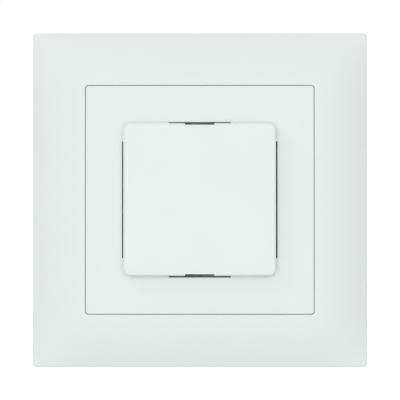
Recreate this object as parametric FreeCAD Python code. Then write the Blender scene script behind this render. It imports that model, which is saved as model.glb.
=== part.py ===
import FreeCAD, Part
import math
import os

os.makedirs("parts", exist_ok=True)
V = FreeCAD.Vector

# Where things are. X runs to the right, Z up and Y into the wall. The wall face is the plane Y = 0, the
# origin is the middle of the two box screws, and everything the hand reaches lies at negative Y. All in mm.

# How far a cut runs past the surface it opens, how far a raised form is sunk into the one it stands on, and
# how close an edge has to lie to a face to be picked as one of its rims.
beyond = 1.0
sunk = 0.5
near = 0.01

# Sizes of the push button
button_size = 36.8
button_corner = 1.6
button_inner_corner = 1.0
button_edge_round = 0.5
button_front = -14.0
button_skirt_end = -6.5
button_wall = 1.6
button_face_wall = 1.8
button_travel = 2.5
notch_width = 7.1
notch_depth = 0.4
cap_rib_thickness = 1.0
cap_rib_height = 1.6
stake_place = 11.0
stake_post_radius = 2.0
stake_pin_radius = 1.0
stake_head_radius = 1.7
stake_head_height = 0.6
stake_clearance = 0.05

# Sizes of the carrier behind the button
carrier_gap = 1.6
carrier_size = button_size - 2 * button_wall - 2 * carrier_gap
carrier_corner = 1.5
carrier_thickness = 1.6
carrier_back = -7.0
carrier_front = carrier_back - carrier_thickness
carrier_window_width = 7.0
carrier_window_height = 5.0
stem_place = 8.0
stem_width = 5.0
stem_height = 8.0
stem_clearance = 0.1
stem_nose_radius = 2.0
guide_stem_end = 4.2
stem_lug_reach = 0.6
stem_lug_inset = 1.0
stem_lug_gap = 0.2
stem_lug_length = 1.2

# Flats round the wire of every coil spring
wire_flats = 6

# Sizes of the springs under the button
return_spring_place = 9.0
return_spring_radius = 2.75
return_spring_wire = 0.5
return_spring_turns = 4.0
spigot_clearance = 0.35
spigot_radius = return_spring_radius - return_spring_wire / 2 - spigot_clearance
carrier_spigot_height = 1.0
cover_spigot_height = 1.5

# Places along Z, from the lever in the middle out to the top of the housing
blade_half_width = 3.0
lever_pad_past_blade = 0.5
lever_pad_half_width = blade_half_width + lever_pad_past_blade
bearing_from_blade = 2.4
bearing_length = 3.0
bearing_inner = blade_half_width + bearing_from_blade
bearing_outer = bearing_inner + bearing_length
barrel_end_inset = 0.2
lever_barrel_half = bearing_outer - barrel_end_inset
partition_from_bearing = 2.2
partition_thickness = 1.2
partition_place = bearing_outer + partition_from_bearing + partition_thickness / 2
wire_from_partition = 3.8
wire_place_z = partition_place + wire_from_partition
wire_from_top = 7.0

# Sizes of the switch housing and its cover
housing_width = 36.0
housing_height = 2 * (wire_place_z + wire_from_top)
housing_chamfer = 7.0
housing_wall = 1.6
housing_front = 1.8
housing_back = 24.0
housing_rim = 0.6
floor_thickness = 1.8
floor_front = housing_back - floor_thickness
side_bay_depth = 2.0
side_bay_half_height = 7.2
chimney_wall = 1.2
chimney_corner = 0.8
chimney_front = -3.8
rivet_from_side = 2.8
rivet_from_bay = 3.3
rivet_place_x = housing_width / 2 - rivet_from_side
rivet_place_z = side_bay_half_height + rivet_from_bay
rivet_radius = 1.4
rivet_clearance = 0.1
rivet_head_radius = 2.2
rivet_head_height = 0.7
rivet_head_edge = 0.4
rivet_tail_radius = 2.0
rivet_tail_height = 0.5
rivet_post_radius = 2.4

# Sizes of the see-saw contact lever
fixed_contact_from_side = 6.7
fixed_contact_place = housing_width / 2 - fixed_contact_from_side
contact_lead = 0.3
contact_arm = 9.0
pivot_x = fixed_contact_place - contact_lead - contact_arm
pivot_y = 11.0
pad_arm = pivot_x + stem_place
tilt = button_travel / 2 / pad_arm
lever_barrel_radius = 1.5
bearing_clearance = 0.05
bearing_half_width = 3.0
bearing_front = 8.8
bearing_mouth = 2.6
blade_thickness = 0.8
blade_past_pad = 2.5
blade_past_contact = 2.2
blade_left = pad_arm + blade_past_pad
blade_right = contact_arm + blade_past_contact
lever_pad_length = 6.4
lever_pad_front = 2.0
lever_pad_back = 1.2
lever_pad_corner = 0.8
nose_gap = 0.1
contact_radius = 1.8
contact_shank_radius = 1.0
contact_head = 0.35
contact_dome = 0.4
contact_gap = 0.07
contact_crown = blade_thickness / 2 + contact_head + contact_dome
contact_round = (contact_radius ** 2 + contact_dome ** 2) / (2 * contact_dome)
nose_distance = lever_pad_front + stem_nose_radius + nose_gap
stem_nose_centre = pivot_y - (nose_distance + pad_arm * math.sin(tilt)) / math.cos(tilt)

# Sizes of the fixed contacts. The dome of the moving contact reaches this far from the pivot in Y.
contact_swing = contact_arm * math.sin(tilt)
contact_reach = contact_swing + contact_round - (contact_round - contact_crown) * math.cos(tilt)
fixed_contact_radius = 1.9
fixed_contact_thickness = 0.6
make_face = pivot_y - contact_reach - contact_gap
break_face = pivot_y + contact_reach + contact_gap

# Sizes of the terminals
wire_hole_radius = 2.0
wire_funnel_radius = 2.5
wire_funnel_depth = 0.5
bar_from_side = 7.4
bar_inner = housing_width / 2 - bar_from_side
bar_thickness = 0.8
bar_width = 4.0
wire_to_bar = 2.1
wire_place_x = bar_inner - wire_to_bar
link_width = 1.8
link_outer = bar_inner + link_width
strip_thickness = 0.8
contact_strip_reach = 2.0
contact_strip_left = fixed_contact_place - contact_strip_reach
contact_strip_right = fixed_contact_place + contact_strip_reach
contact_strip_half = 3.0
make_strip_front = make_face - fixed_contact_thickness - strip_thickness
break_strip_front = break_face + fixed_contact_thickness
common_strip_rise = 5.0
common_strip_front = floor_front - common_strip_rise
common_bar_front = 12.0
tongue_clearance = 0.15
common_tongue_front = pivot_y + lever_barrel_radius + tongue_clearance
common_tongue_half = 1.0
hold_peg_width = 1.6
hold_peg_height = 3.0
partition_to_bars = 0.8
partition_half_width = bar_inner - partition_to_bars
partition_front = 9.0

# Sizes of the spring behind the lever
lever_spring_radius = 1.95
lever_spring_wire = 0.4
lever_spring_turns = 4.0
lever_spring_gap = 0.1
pad_back_at_rest = pivot_y - pad_arm * math.sin(tilt) + lever_pad_back * math.cos(tilt)
lever_spring_lean = (lever_spring_radius + lever_spring_wire / 2) * math.sin(tilt)
lever_spring_front = pad_back_at_rest + lever_spring_lean + lever_spring_gap

# Sizes of the strip springs that grip the wires
clamp_thickness = 0.4
clamp_bend_radius = 0.6
clamp_from_bar_end = 0.6
clamp_from_bar = 0.2
clamp_fold_from_wire = 3.9
clamp_front = common_bar_front + clamp_from_bar_end
clamp_fold = wire_place_x - clamp_fold_from_wire
clamp_tip_x = bar_inner - clamp_from_bar
clamp_depth = 6.7
clamp_tip_y = clamp_front + clamp_depth

# Sizes of the release keys
key_from_wire = 2.0
key_width = 2 * (wire_place_x - wire_hole_radius - key_from_wire)
key_height = 4.0
key_clearance = 0.15
key_proud = 1.5
key_end = housing_back + key_proud
key_edge = 0.4
key_slot_length = 3.0
key_slot_width = 1.0
key_slot_depth = 0.5
key_flange_from_wire = 0.2
key_flange_half = wire_place_x - wire_hole_radius - key_flange_from_wire
key_flange_gap = 0.2
key_flange_thickness = 1.8
key_flange_back = floor_front - key_flange_gap
key_flange_front = key_flange_back - key_flange_thickness
key_prong_width = 1.4
key_prong_gap = 0.4
clamp_slope = clamp_depth / (clamp_tip_x - clamp_fold)
clamp_offset = clamp_thickness / 2 * math.sqrt(1 + clamp_slope ** 2)
key_prong_tip = clamp_front + clamp_slope * (key_flange_half - clamp_fold) + clamp_offset + key_prong_gap

# Sizes of the spreading claws
claw_pivot_from_side = 0.8
claw_pivot_x = housing_width / 2 + claw_pivot_from_side
claw_pivot_y = 3.2
claw_pin_radius = 0.8
claw_pin_inset = 0.3
claw_pin_half = side_bay_half_height - claw_pin_inset
claw_pin_seat = 0.02
claw_eye_clearance = 0.05
claw_eye_radius = 1.9
cheek_inner = 3.6
cheek_thickness = 1.1
cheek_outer = cheek_inner + cheek_thickness
claw_arm_inset = 1.8
claw_arm_width = 3.2
claw_arm_inner = claw_pivot_x - claw_arm_inset
claw_arm_outer = claw_arm_inner + claw_arm_width
claw_arm_end = 19.5
claw_web_front = 14.5
claw_web_thickness = 1.0
claw_tooth_first = 12.6
claw_tooth_pitch = 2.3
claw_tooth_count = 3
claw_tooth_reach = 1.0
claw_tooth_rise = 0.4
claw_tooth_base = 1.8
claw_tab_from_pivot = 2.3
claw_tab_front = claw_pivot_y + claw_tab_from_pivot
claw_tab_thickness = 1.2
claw_tab_back = claw_tab_front + claw_tab_thickness
ear_from_cheek = 0.2
ear_inner = cheek_outer + ear_from_cheek
ear_radius = 1.4
ear_root = 1.2
ear_root_reach = 1.0
claw_screw_from_pivot = 4.2
claw_screw_place = claw_pivot_x + claw_screw_from_pivot
claw_tab_past_screw = 3.2
claw_tab_slot_inward = 3.2
claw_tab_slot_outward = 2.1
claw_tab_end = claw_screw_place + claw_tab_past_screw
claw_tab_slot_start = claw_screw_place - claw_tab_slot_inward
claw_tab_slot_end = claw_screw_place + claw_tab_slot_outward
claw_tab_slot_half = 2.1
claw_screw_radius = 1.7
claw_screw_head_radius = 2.8
claw_screw_head_front = -2.9
claw_screw_head_back = -1.1
claw_screw_head_edge = 0.5
claw_screw_slot_width = 0.8
claw_screw_slot_depth = 0.9
claw_screw_cross_half = 1.5
claw_screw_point = 0.5
claw_screw_past_nut = 0.9
nut_clearance = 0.05
nut_nose_radius = 2.2
nut_nose_gap = 0.2
nut_nose_centre = claw_tab_back + nut_nose_radius + nut_nose_gap
nut_length = 2.5
nut_back = nut_nose_centre + nut_length
nut_from_cheek = 0.4
nut_half_height = cheek_inner - nut_from_cheek
claw_screw_tip = nut_back + claw_screw_past_nut

# Sizes of the steel support ring
claw_screw_to_box_screw = 7.0
box_screw_spacing = 2 * (claw_screw_place + claw_screw_to_box_screw)
box_screw_hole_radius = 2.1
box_screw_slot_length = 7.0
box_screw_slot_flat = 0.001
box_screw_to_edge = 5.5
ring_size = box_screw_spacing + 2 * box_screw_to_edge
ring_thickness = 1.0
ring_corner = 4.0
ring_opening_gap = 0.6
ring_opening_half_width = stem_place + stem_width / 2 + stem_clearance + chimney_wall + ring_opening_gap
return_spring_half = return_spring_radius + return_spring_wire / 2
ring_opening_half_height = return_spring_place + return_spring_half + ring_opening_gap
ring_opening_corner = 1.5
arc_slot_half_angle = 8.0
claw_screw_hole_radius = 2.0
sight_notch_depth = 1.5
bead_place = 21.2
bead_half_width = 0.8
bead_height = 0.4
bead_half_length = 6.0

# Sizes of the cover frame
frame_side_wall = 2.0
ring_room = 3.0
frame_size = ring_size + 2 * ring_room + 2 * frame_side_wall
frame_corner = 0.7
frame_wall = 2.0
frame_opening = 55.5
frame_opening_corner = 0.8
collar_wall = 1.6
ledge_reach = 2.5
ledge_thickness = 1.2
ledge_front = -5.8
frame_rib_place = 15.0
frame_rib_thickness = 1.2
frame_rib_back = -1.6

# Shape of the crowned front that the frame and the centre plate share
crown_edge_height = 5.0
crown_rise = 4.8
crown_power = 6
crown_overlap = 1.0
front_space = 2 * (crown_edge_height + crown_rise)

# Sizes of the centre plate
plate_clearance = 0.12
plate_size = frame_opening - 2 * plate_clearance
plate_corner = frame_opening_corner - plate_clearance
plate_step_down = 0.1
plate_wall = 2.0
plate_skirt_wall = 1.5
button_gap = 0.35
well_opening = button_size + 2 * button_gap
well_corner = button_corner + button_gap
well_wall = 1.2
well_back = -3.3
pad_clearance = 0.05
pad_thickness = button_gap - pad_clearance
pad_depth_below_face = 0.15
side_pad_reach = 4.65
top_pad_reach = 11.2
ledge_opening = frame_opening - 2 * ledge_reach
snap_leg_place = 15.0
snap_leg_width = 6.0
snap_leg_gap = 0.3
snap_leg_thickness = 1.3
snap_leg_outer = ledge_opening / 2 - snap_leg_gap
snap_leg_inner = snap_leg_outer - snap_leg_thickness
snap_leg_end = 1.8
snap_barb_reach = 0.8
snap_barb_front = 0.05
snap_barb_land = 0.05
leg_slot_side_room = 0.5
leg_slot_barb_room = 0.5
leg_slot_width = snap_leg_width + 2 * leg_slot_side_room
leg_slot_inner = snap_leg_inner - snap_leg_gap
leg_slot_outer = snap_leg_outer + leg_slot_barb_room


# Helpers for plain forms

def block(x0, x1, y0, y1, z0, z1):
    return Part.makeBox(x1 - x0, y1 - y0, z1 - z0, V(x0, y0, z0))


def post(x, z, radius, y0, y1):
    return Part.makeCylinder(radius, y1 - y0, V(x, y0, z), V(0, 1, 0))


def cross_pin(x, y, radius, z0, z1):
    return Part.makeCylinder(radius, z1 - z0, V(x, y, z0), V(0, 0, 1))


def edges_along_y(solid):
    found = []
    for edge in solid.Edges:
        direction = edge.tangentAt(edge.FirstParameter)
        if abs(direction.y) > 0.99:
            found.append(edge)
    return found


def rounded_block(width, height, corner, y0, y1, x=0.0, z=0.0):
    solid = block(x - width / 2, x + width / 2, y0, y1, z - height / 2, z + height / 2)
    return solid.makeFillet(corner, edges_along_y(solid))


def outline_plate(points, z0, z1):
    corners = [V(x, y, z0) for x, y in points]
    outline = Part.makePolygon(corners + corners[:1])
    return Part.Face(outline).extrude(V(0, 0, z1 - z0))


def left_copy(solid):
    return solid.mirror(V(0, 0, 0), V(1, 0, 0))


def lower_copy(solid):
    return solid.mirror(V(0, 0, 0), V(0, 0, 1))


def four_sides(solid):
    sides = []
    for quarter in range(4):
        side = solid.copy()
        side.rotate(V(0, 0, 0), V(0, 1, 0), 90 * quarter)
        sides.append(side)
    return sides


def four_corners(solid):
    left = left_copy(solid)
    return [solid, left, lower_copy(solid), lower_copy(left)]


def joined(first, others):
    return first.multiFuse(others).removeSplitter()


def save(name, solid):
    solid.exportStep("parts/" + name + ".step")


# The crowned front. Its height above the wall is
#     edge height + rise * (1 - (x / half)^6) * (1 - (z / half)^6)
# so it is almost flat in the middle, falls away along the middle of each side and runs out level at the four
# corners. A sixth power along a square patch is one Bezier surface of degree six with evenly spaced poles,
# whose factors alternate between two values.

def space_before_crown(drop):
    half = frame_size / 2 + crown_overlap
    overshoot = (half / (frame_size / 2)) ** crown_power
    poles = []
    for i in range(crown_power + 1):
        row = []
        for j in range(crown_power + 1):
            x = half * (2.0 * i / crown_power - 1)
            z = half * (2.0 * j / crown_power - 1)
            factor_x = 1 - overshoot * (-1) ** i
            factor_z = 1 - overshoot * (-1) ** j
            height = crown_edge_height + crown_rise * factor_x * factor_z - drop
            row.append(V(x, -height, z))
        poles.append(row)
    ends = [crown_power + 1, crown_power + 1]
    surface = Part.BSplineSurface()
    degree = crown_power
    surface.buildFromPolesMultsKnots(poles, ends, ends, [0, 1], [0, 1], False, False, degree, degree)
    return surface.toShape().extrude(V(0, -2 * front_space, 0))


def crowned_block(size, corner, drop, back):
    return rounded_block(size, size, corner, -front_space, back).cut(space_before_crown(drop))


# The cover frame: crowned skin, four side walls down to the wall, an inner collar with the ledge that the
# centre plate clamps, and eight thin ribs between collar and side walls.

def make_cover_frame():
    collar = frame_opening + 2 * collar_wall
    cavity = frame_size - 2 * frame_side_wall
    ledge_back = ledge_front + ledge_thickness
    body = crowned_block(frame_size, frame_corner, 0, 0)
    body = body.cut(crowned_block(cavity, frame_corner, frame_wall, 0))
    inner_wall = crowned_block(collar, frame_opening_corner + collar_wall, 0, ledge_back)
    ribs = []
    for place in (-frame_rib_place, frame_rib_place):
        left = place - frame_rib_thickness / 2
        right = place + frame_rib_thickness / 2
        rib = block(left, right, -front_space, frame_rib_back, collar / 2 - sunk, cavity / 2 + sunk)
        rib = rib.cut(space_before_crown(frame_wall / 2))
        ribs.extend(four_sides(rib))
    body = body.multiFuse([inner_wall] + ribs)
    seat = rounded_block(frame_opening, frame_opening, frame_opening_corner, -front_space, ledge_front)
    through = rounded_block(ledge_opening, ledge_opening, frame_opening_corner, -front_space, beyond)
    body = body.cut(seat).cut(through)
    return body.removeSplitter()


# The centre plate: the middle of the same crown, a skirt that rests on the ledge, a well round the button,
# a guide pad bent round each corner of the well and four snap legs that catch behind the support ring.

def make_guide_pads():
    wall = well_opening / 2
    face = -(crown_edge_height + crown_rise - plate_step_down)
    front = face + pad_depth_below_face
    inside = well_opening - 2 * pad_thickness
    outside = well_opening + well_wall
    lining = rounded_block(outside, outside, well_corner + well_wall / 2, front, well_back)
    lining = lining.cut(rounded_block(inside, inside, button_corner + pad_clearance, front, well_back))
    end = outside / 2
    corner = block(wall - top_pad_reach, end, front, well_back, wall - side_pad_reach, end)
    return four_corners(lining.common(corner))


def make_snap_leg():
    left = snap_leg_place - snap_leg_width / 2
    right = snap_leg_place + snap_leg_width / 2
    skin = -(crown_edge_height + crown_rise) + plate_wall
    leg = block(left, right, skin - sunk, snap_leg_end, snap_leg_inner, snap_leg_outer)
    barb_tip = snap_leg_outer + snap_barb_reach
    barb = block(left, right, snap_barb_front, snap_leg_end, snap_leg_outer - sunk, barb_tip)
    behind = [edge for edge in barb.Edges if edge.BoundBox.YMin > snap_leg_end - near]
    ramp = [edge for edge in behind if edge.BoundBox.ZMin > barb_tip - near]
    return leg.fuse(barb.makeChamfer(snap_barb_reach - snap_barb_land, ramp))


def make_centre_plate():
    body = crowned_block(plate_size, plate_corner, plate_step_down, ledge_front)
    hollow = plate_size - 2 * plate_skirt_wall
    body = body.cut(crowned_block(hollow, plate_corner, plate_step_down + plate_wall, ledge_front))
    well = crowned_block(well_opening + 2 * well_wall, well_corner + well_wall, plate_step_down, well_back)
    legs = four_corners(make_snap_leg())
    body = body.multiFuse([well] + legs)
    body = body.cut(rounded_block(well_opening, well_opening, well_corner, -front_space, 0))
    return joined(body, make_guide_pads())


# The button cap: a square cap with softly rounded front edges, a finger notch in its top and in its bottom
# side, and four posts whose pins are melted over behind the carrier.

def make_button_cap():
    body = rounded_block(button_size, button_size, button_corner, button_front, button_skirt_end)
    rim = [edge for edge in body.Edges if edge.BoundBox.YMax < button_front + near]
    body = body.makeFillet(button_edge_round, rim)
    hollow = button_size - 2 * button_wall
    face_back = button_front + button_face_wall
    body = body.cut(rounded_block(hollow, hollow, button_inner_corner, face_back, button_skirt_end))
    edge = button_size / 2
    notch = block(-notch_width / 2, notch_width / 2, -front_space, 0, edge - notch_depth, edge + beyond)
    body = body.cut(notch).cut(lower_copy(notch))
    stake = post(stake_place, stake_place, stake_post_radius, face_back - sunk, carrier_front)
    stake = stake.fuse(post(stake_place, stake_place, stake_pin_radius, carrier_front, carrier_back))
    rib_half = cap_rib_thickness / 2
    reach = hollow / 2 + button_wall / 2
    rib_back = face_back + cap_rib_height
    ribs = []
    for place in (-stake_place, stake_place):
        ribs.append(block(place - rib_half, place + rib_half, face_back - sunk, rib_back, -reach, reach))
        ribs.append(block(-reach, reach, face_back - sunk, rib_back, place - rib_half, place + rib_half))
    head_back = carrier_back + stake_head_height
    stake = stake.fuse(post(stake_place, stake_place, stake_head_radius, carrier_back, head_back))
    return joined(body, four_corners(stake) + ribs)


# The carrier: a plate with two guided stems. The left stem ends in a round nose that works the lever.

def make_stem(x, end):
    half = stem_width / 2
    tall = stem_height / 2
    stem = block(x - half, x + half, carrier_back - sunk, end, -tall, tall)
    lug_reach = tall + stem_lug_reach
    lug_front = housing_front + stem_lug_gap
    lug_back = lug_front + stem_lug_length
    lug_half = half - stem_lug_inset
    lugs = block(x - lug_half, x + lug_half, lug_front, lug_back, -lug_reach, lug_reach)
    return stem.fuse(lugs)


def make_button_carrier():
    body = rounded_block(carrier_size, carrier_size, carrier_corner, carrier_front, carrier_back)
    hole_radius = stake_pin_radius + stake_clearance
    hole = post(stake_place, stake_place, hole_radius, carrier_front - beyond, carrier_back + beyond)
    half_x = carrier_window_width / 2
    half_z = carrier_window_height / 2
    window = block(-half_x, half_x, carrier_front - beyond, carrier_back + beyond, -half_z, half_z)
    for one in four_corners(hole) + [window]:
        body = body.cut(one)
    drive = make_stem(-stem_place, stem_nose_centre)
    tall = stem_height / 2
    nose = cross_pin(-stem_place, stem_nose_centre, stem_nose_radius, -tall, tall)
    guide = make_stem(stem_place, guide_stem_end)
    spigot_back = carrier_back + carrier_spigot_height
    spigot = post(0, return_spring_place, spigot_radius, carrier_back - sunk, spigot_back)
    return joined(body, [drive, nose, guide, spigot, lower_copy(spigot)])


# Coil springs stand along Y, their wire just touching both seats.

def coil_spring(x, z, y0, y1, radius, wire, turns):
    length = y1 - y0 - wire
    helix = Part.makeHelix(length / turns, length, radius)
    corners = []
    for index in range(wire_flats + 1):
        angle = math.radians(360 * (index + 0.5) / wire_flats)
        reach = wire / 2 / math.cos(math.pi / wire_flats)
        corners.append(V(radius + reach * math.cos(angle), 0, reach * math.sin(angle)))
    section = Part.makePolygon(corners)
    spring = Part.Wire(helix.Edges).makePipeShell([section], True, True)
    spring.rotate(V(0, 0, 0), V(1, 0, 0), -90)
    spring.translate(V(x, y0 + wire / 2, z))
    return spring


def make_return_spring(z):
    return coil_spring(0, z, carrier_back, 0, return_spring_radius, return_spring_wire, return_spring_turns)


def make_lever_spring():
    x = pivot_x - pad_arm
    front = lever_spring_front
    seat = common_strip_front
    return coil_spring(x, 0, front, seat, lever_spring_radius, lever_spring_wire, lever_spring_turns)


# The support ring: a flat steel frame with the box-screw slots, two curved slots, holes for the claw screws,
# slots for the snap legs, stiffening beads and sight notches in the middle of each side.

def make_arc_slot():
    middle = box_screw_spacing / 2
    front = -ring_thickness - beyond
    outer = post(0, 0, middle + box_screw_hole_radius, front, beyond)
    inner = post(0, 0, middle - box_screw_hole_radius, front, beyond)
    end_x = middle * math.sin(math.radians(arc_slot_half_angle))
    end_z = middle * math.cos(math.radians(arc_slot_half_angle))
    window = block(-end_x, end_x, front, beyond, 0, ring_size / 2)
    slot = outer.cut(inner).common(window)
    ends = [post(side * end_x, end_z, box_screw_hole_radius, front, beyond) for side in (-1, 1)]
    return slot.multiFuse(ends)


def make_bead(z, half_length):
    start = V(-half_length, -ring_thickness + bead_half_width - bead_height, z)
    rod = Part.makeCylinder(bead_half_width, 2 * half_length, start, V(1, 0, 0))
    skin = block(-half_length, half_length, -ring_thickness - beyond, -ring_thickness, z - beyond, z + beyond)
    return rod.common(skin)


def make_beads():
    inner = make_bead(bead_place, bead_half_length)
    return [inner, lower_copy(inner)]


def make_support_ring():
    front = -ring_thickness
    body = rounded_block(ring_size, ring_size, ring_corner, front, 0)
    width = 2 * ring_opening_half_width
    height = 2 * ring_opening_half_height
    cuts = [rounded_block(width, height, ring_opening_corner, front - beyond, beyond)]
    screw_x = box_screw_spacing / 2
    height = 2 * box_screw_hole_radius
    corner = box_screw_hole_radius - box_screw_slot_flat
    slot = rounded_block(box_screw_slot_length, height, corner, front - beyond, beyond, screw_x)
    cuts.extend([slot, left_copy(slot)])
    arc_slot = make_arc_slot()
    cuts.extend([arc_slot, lower_copy(arc_slot)])
    claw_hole = post(claw_screw_place, 0, claw_screw_hole_radius, front - beyond, beyond)
    cuts.extend([claw_hole, left_copy(claw_hole)])
    left = snap_leg_place - leg_slot_width / 2
    right = snap_leg_place + leg_slot_width / 2
    leg_slot = block(left, right, front - beyond, beyond, leg_slot_inner, leg_slot_outer)
    cuts.extend(four_corners(leg_slot))
    rivet_hole = post(rivet_place_x, rivet_place_z, rivet_radius + rivet_clearance, front - beyond, beyond)
    cuts.extend(four_corners(rivet_hole))
    sight = cross_pin(0, 0, sight_notch_depth, front - beyond, beyond)
    sight.rotate(V(0, 0, 0), V(1, 0, 0), 90)
    sight.translate(V(0, 0, ring_size / 2))
    cuts.extend(four_sides(sight))
    for one in cuts:
        body = body.cut(one)
    return joined(body, make_beads())


# The housing outline: a block with cut corners and a bay in each side where the claws lie.

def housing_block(inset, y0, y1):
    half_x = housing_width / 2 - inset
    half_z = housing_height / 2 - inset
    chamfer = housing_chamfer - inset * (2 - math.sqrt(2))
    solid = block(-half_x, half_x, y0, y1, -half_z, half_z)
    solid = solid.makeChamfer(chamfer, edges_along_y(solid))
    bay_half = side_bay_half_height + inset
    bay = block(half_x - side_bay_depth, half_x + beyond, y0 - beyond, y1 + beyond, -bay_half, bay_half)
    return solid.cut(bay).cut(left_copy(bay))


def make_housing_cover():
    body = housing_block(0, 0, housing_front)
    gap = 2 * stem_clearance
    wall = 2 * chimney_wall
    width = stem_width + gap
    height = stem_height + gap
    parts = []
    cuts = []
    for x in (-stem_place, stem_place):
        parts.append(rounded_block(width + wall, height + wall, chimney_corner, chimney_front, sunk, x))
        left = x - width / 2
        right = x + width / 2
        start = chimney_front - beyond
        cuts.append(block(left, right, start, housing_front + beyond, -height / 2, height / 2))
    spigot = post(0, return_spring_place, spigot_radius, -cover_spigot_height, sunk)
    parts.extend([spigot, lower_copy(spigot)])
    outer = bar_inner + hold_peg_width
    low = wire_place_z - hold_peg_height / 2
    high = wire_place_z + hold_peg_height / 2
    root = housing_front - sunk
    make_peg = block(bar_inner, outer, root, make_strip_front, low, high)
    break_peg = block(bar_inner, outer, root, break_strip_front, -high, -low)
    common_peg = block(-outer, -bar_inner, root, common_bar_front, low, high)
    parts.extend([make_peg, break_peg, common_peg, lower_copy(common_peg)])
    body = joined(body, parts)
    hole = post(rivet_place_x, rivet_place_z, rivet_radius + rivet_clearance, -beyond, housing_front + beyond)
    cuts.extend(four_corners(hole))
    for one in cuts:
        body = body.cut(one)
    return body.removeSplitter()


def make_assembly_rivets():
    head_front = -ring_thickness - rivet_head_height
    head = post(rivet_place_x, rivet_place_z, rivet_head_radius, head_front, -ring_thickness)
    head_edges = [edge for edge in head.Edges if edge.BoundBox.YMax < head_front + near]
    head = head.makeChamfer(rivet_head_edge, head_edges)
    shank = post(rivet_place_x, rivet_place_z, rivet_radius, -ring_thickness, housing_back)
    tail_back = housing_back + rivet_tail_height
    tail = post(rivet_place_x, rivet_place_z, rivet_tail_radius, housing_back, tail_back)
    rivet = head.fuse(shank).fuse(tail).removeSplitter()
    return Part.makeCompound(four_corners(rivet))


# The housing: a deep box with rivet posts, two partitions, snap-in bearings for the lever, ears for the claw
# pins, funnel-shaped wire entries and the openings of the release keys.

def make_lever_bearing():
    left = pivot_x - bearing_half_width
    right = pivot_x + bearing_half_width
    bearing = block(left, right, bearing_front, floor_front + sunk, bearing_inner, bearing_outer)
    low = bearing_inner - beyond
    high = bearing_outer + beyond
    seat = cross_pin(pivot_x, pivot_y, lever_barrel_radius + bearing_clearance, low, high)
    half = bearing_mouth / 2
    mouth = block(pivot_x - half, pivot_x + half, bearing_front - beyond, pivot_y, low, high)
    return bearing.cut(seat).cut(mouth)


def make_claw_ear():
    wall = housing_width / 2 - side_bay_depth
    foot_back = claw_pivot_y + ear_radius + ear_root
    start = wall - sunk
    back = claw_pivot_y + ear_radius
    foot = block(start, claw_pivot_x, housing_front, back, ear_inner, claw_pin_half)
    root = block(start, wall + ear_root_reach, housing_front, foot_back, ear_inner, claw_pin_half)
    tip = cross_pin(claw_pivot_x, claw_pivot_y, ear_radius, ear_inner, claw_pin_half)
    ear = foot.multiFuse([root, tip])
    seat = claw_pin_radius + claw_pin_seat
    return ear.cut(cross_pin(claw_pivot_x, claw_pivot_y, seat, ear_inner - beyond, claw_pin_half + beyond))


def make_base_housing():
    body = housing_block(0, housing_front, housing_back)
    rim = [edge for edge in body.Edges if edge.BoundBox.YMin > housing_back - near]
    body = body.makeChamfer(housing_rim, rim)
    body = body.cut(housing_block(housing_wall, housing_front, floor_front))
    rivet_post = post(rivet_place_x, rivet_place_z, rivet_post_radius, housing_front, floor_front + sunk)
    half_partition = partition_thickness / 2
    low = partition_place - half_partition
    high = partition_place + half_partition
    wide = partition_half_width
    partition = block(-wide, wide, partition_front, floor_front + sunk, low, high)
    bearing = make_lever_bearing()
    parts = four_corners(rivet_post) + four_corners(make_claw_ear())
    parts.extend([partition, lower_copy(partition), bearing, lower_copy(bearing)])
    body = body.multiFuse(parts)
    rivet_hole = rivet_radius + rivet_clearance
    cuts = four_corners(post(rivet_place_x, rivet_place_z, rivet_hole, 0, housing_back + beyond))
    entry = post(wire_place_x, wire_place_z, wire_hole_radius, floor_front - beyond, housing_back + beyond)
    mouth = V(wire_place_x, housing_back - wire_funnel_depth, wire_place_z)
    funnel = Part.makeCone(wire_hole_radius, wire_funnel_radius, wire_funnel_depth, mouth, V(0, 1, 0))
    cuts.extend(four_corners(entry) + four_corners(funnel))
    half_x = key_width / 2 + key_clearance
    half_z = key_height / 2 + key_clearance
    low = wire_place_z - half_z
    high = wire_place_z + half_z
    key_hole = block(-half_x, half_x, floor_front - beyond, housing_back + beyond, low, high)
    cuts.extend([key_hole, lower_copy(key_hole)])
    for one in cuts:
        body = body.cut(one)
    return body.removeSplitter()


# The see-saw lever, drawn level and then tilted to its rest position.

def tilted(solid):
    turned = solid.copy()
    turned.rotate(V(pivot_x, pivot_y, 0), V(0, 0, 1), math.degrees(tilt))
    return turned


def make_blade():
    half = blade_thickness / 2
    left = pivot_x - blade_left
    right = pivot_x + blade_right
    return block(left, right, pivot_y - half, pivot_y + half, -blade_half_width, blade_half_width)


def make_contact_lever():
    barrel = cross_pin(pivot_x, pivot_y, lever_barrel_radius, -lever_barrel_half, lever_barrel_half)
    body = make_blade().fuse(barrel)
    hole = post(pivot_x + contact_arm, 0, contact_shank_radius, pivot_y - beyond, pivot_y + beyond)
    return tilted(body.cut(hole).removeSplitter())


def make_lever_pad():
    x = pivot_x - pad_arm
    half = lever_pad_length / 2
    wide = lever_pad_half_width
    body = block(x - half, x + half, pivot_y - lever_pad_front, pivot_y + lever_pad_back, -wide, wide)
    front = [edge for edge in body.Edges if edge.BoundBox.YMax < pivot_y - lever_pad_front + near]
    ends = [edge for edge in front if edge.BoundBox.XLength < near]
    body = body.makeFillet(lever_pad_corner, ends)
    return tilted(body.cut(make_blade()))


def make_contact_head(side):
    x = pivot_x + contact_arm
    under = blade_thickness / 2
    centre = V(x, pivot_y + side * (contact_crown - contact_round), 0)
    ball = Part.makeSphere(contact_round, centre)
    y0 = pivot_y + min(side * under, side * contact_crown)
    y1 = pivot_y + max(side * under, side * contact_crown)
    return post(x, 0, contact_radius, y0, y1).common(ball)


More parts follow.
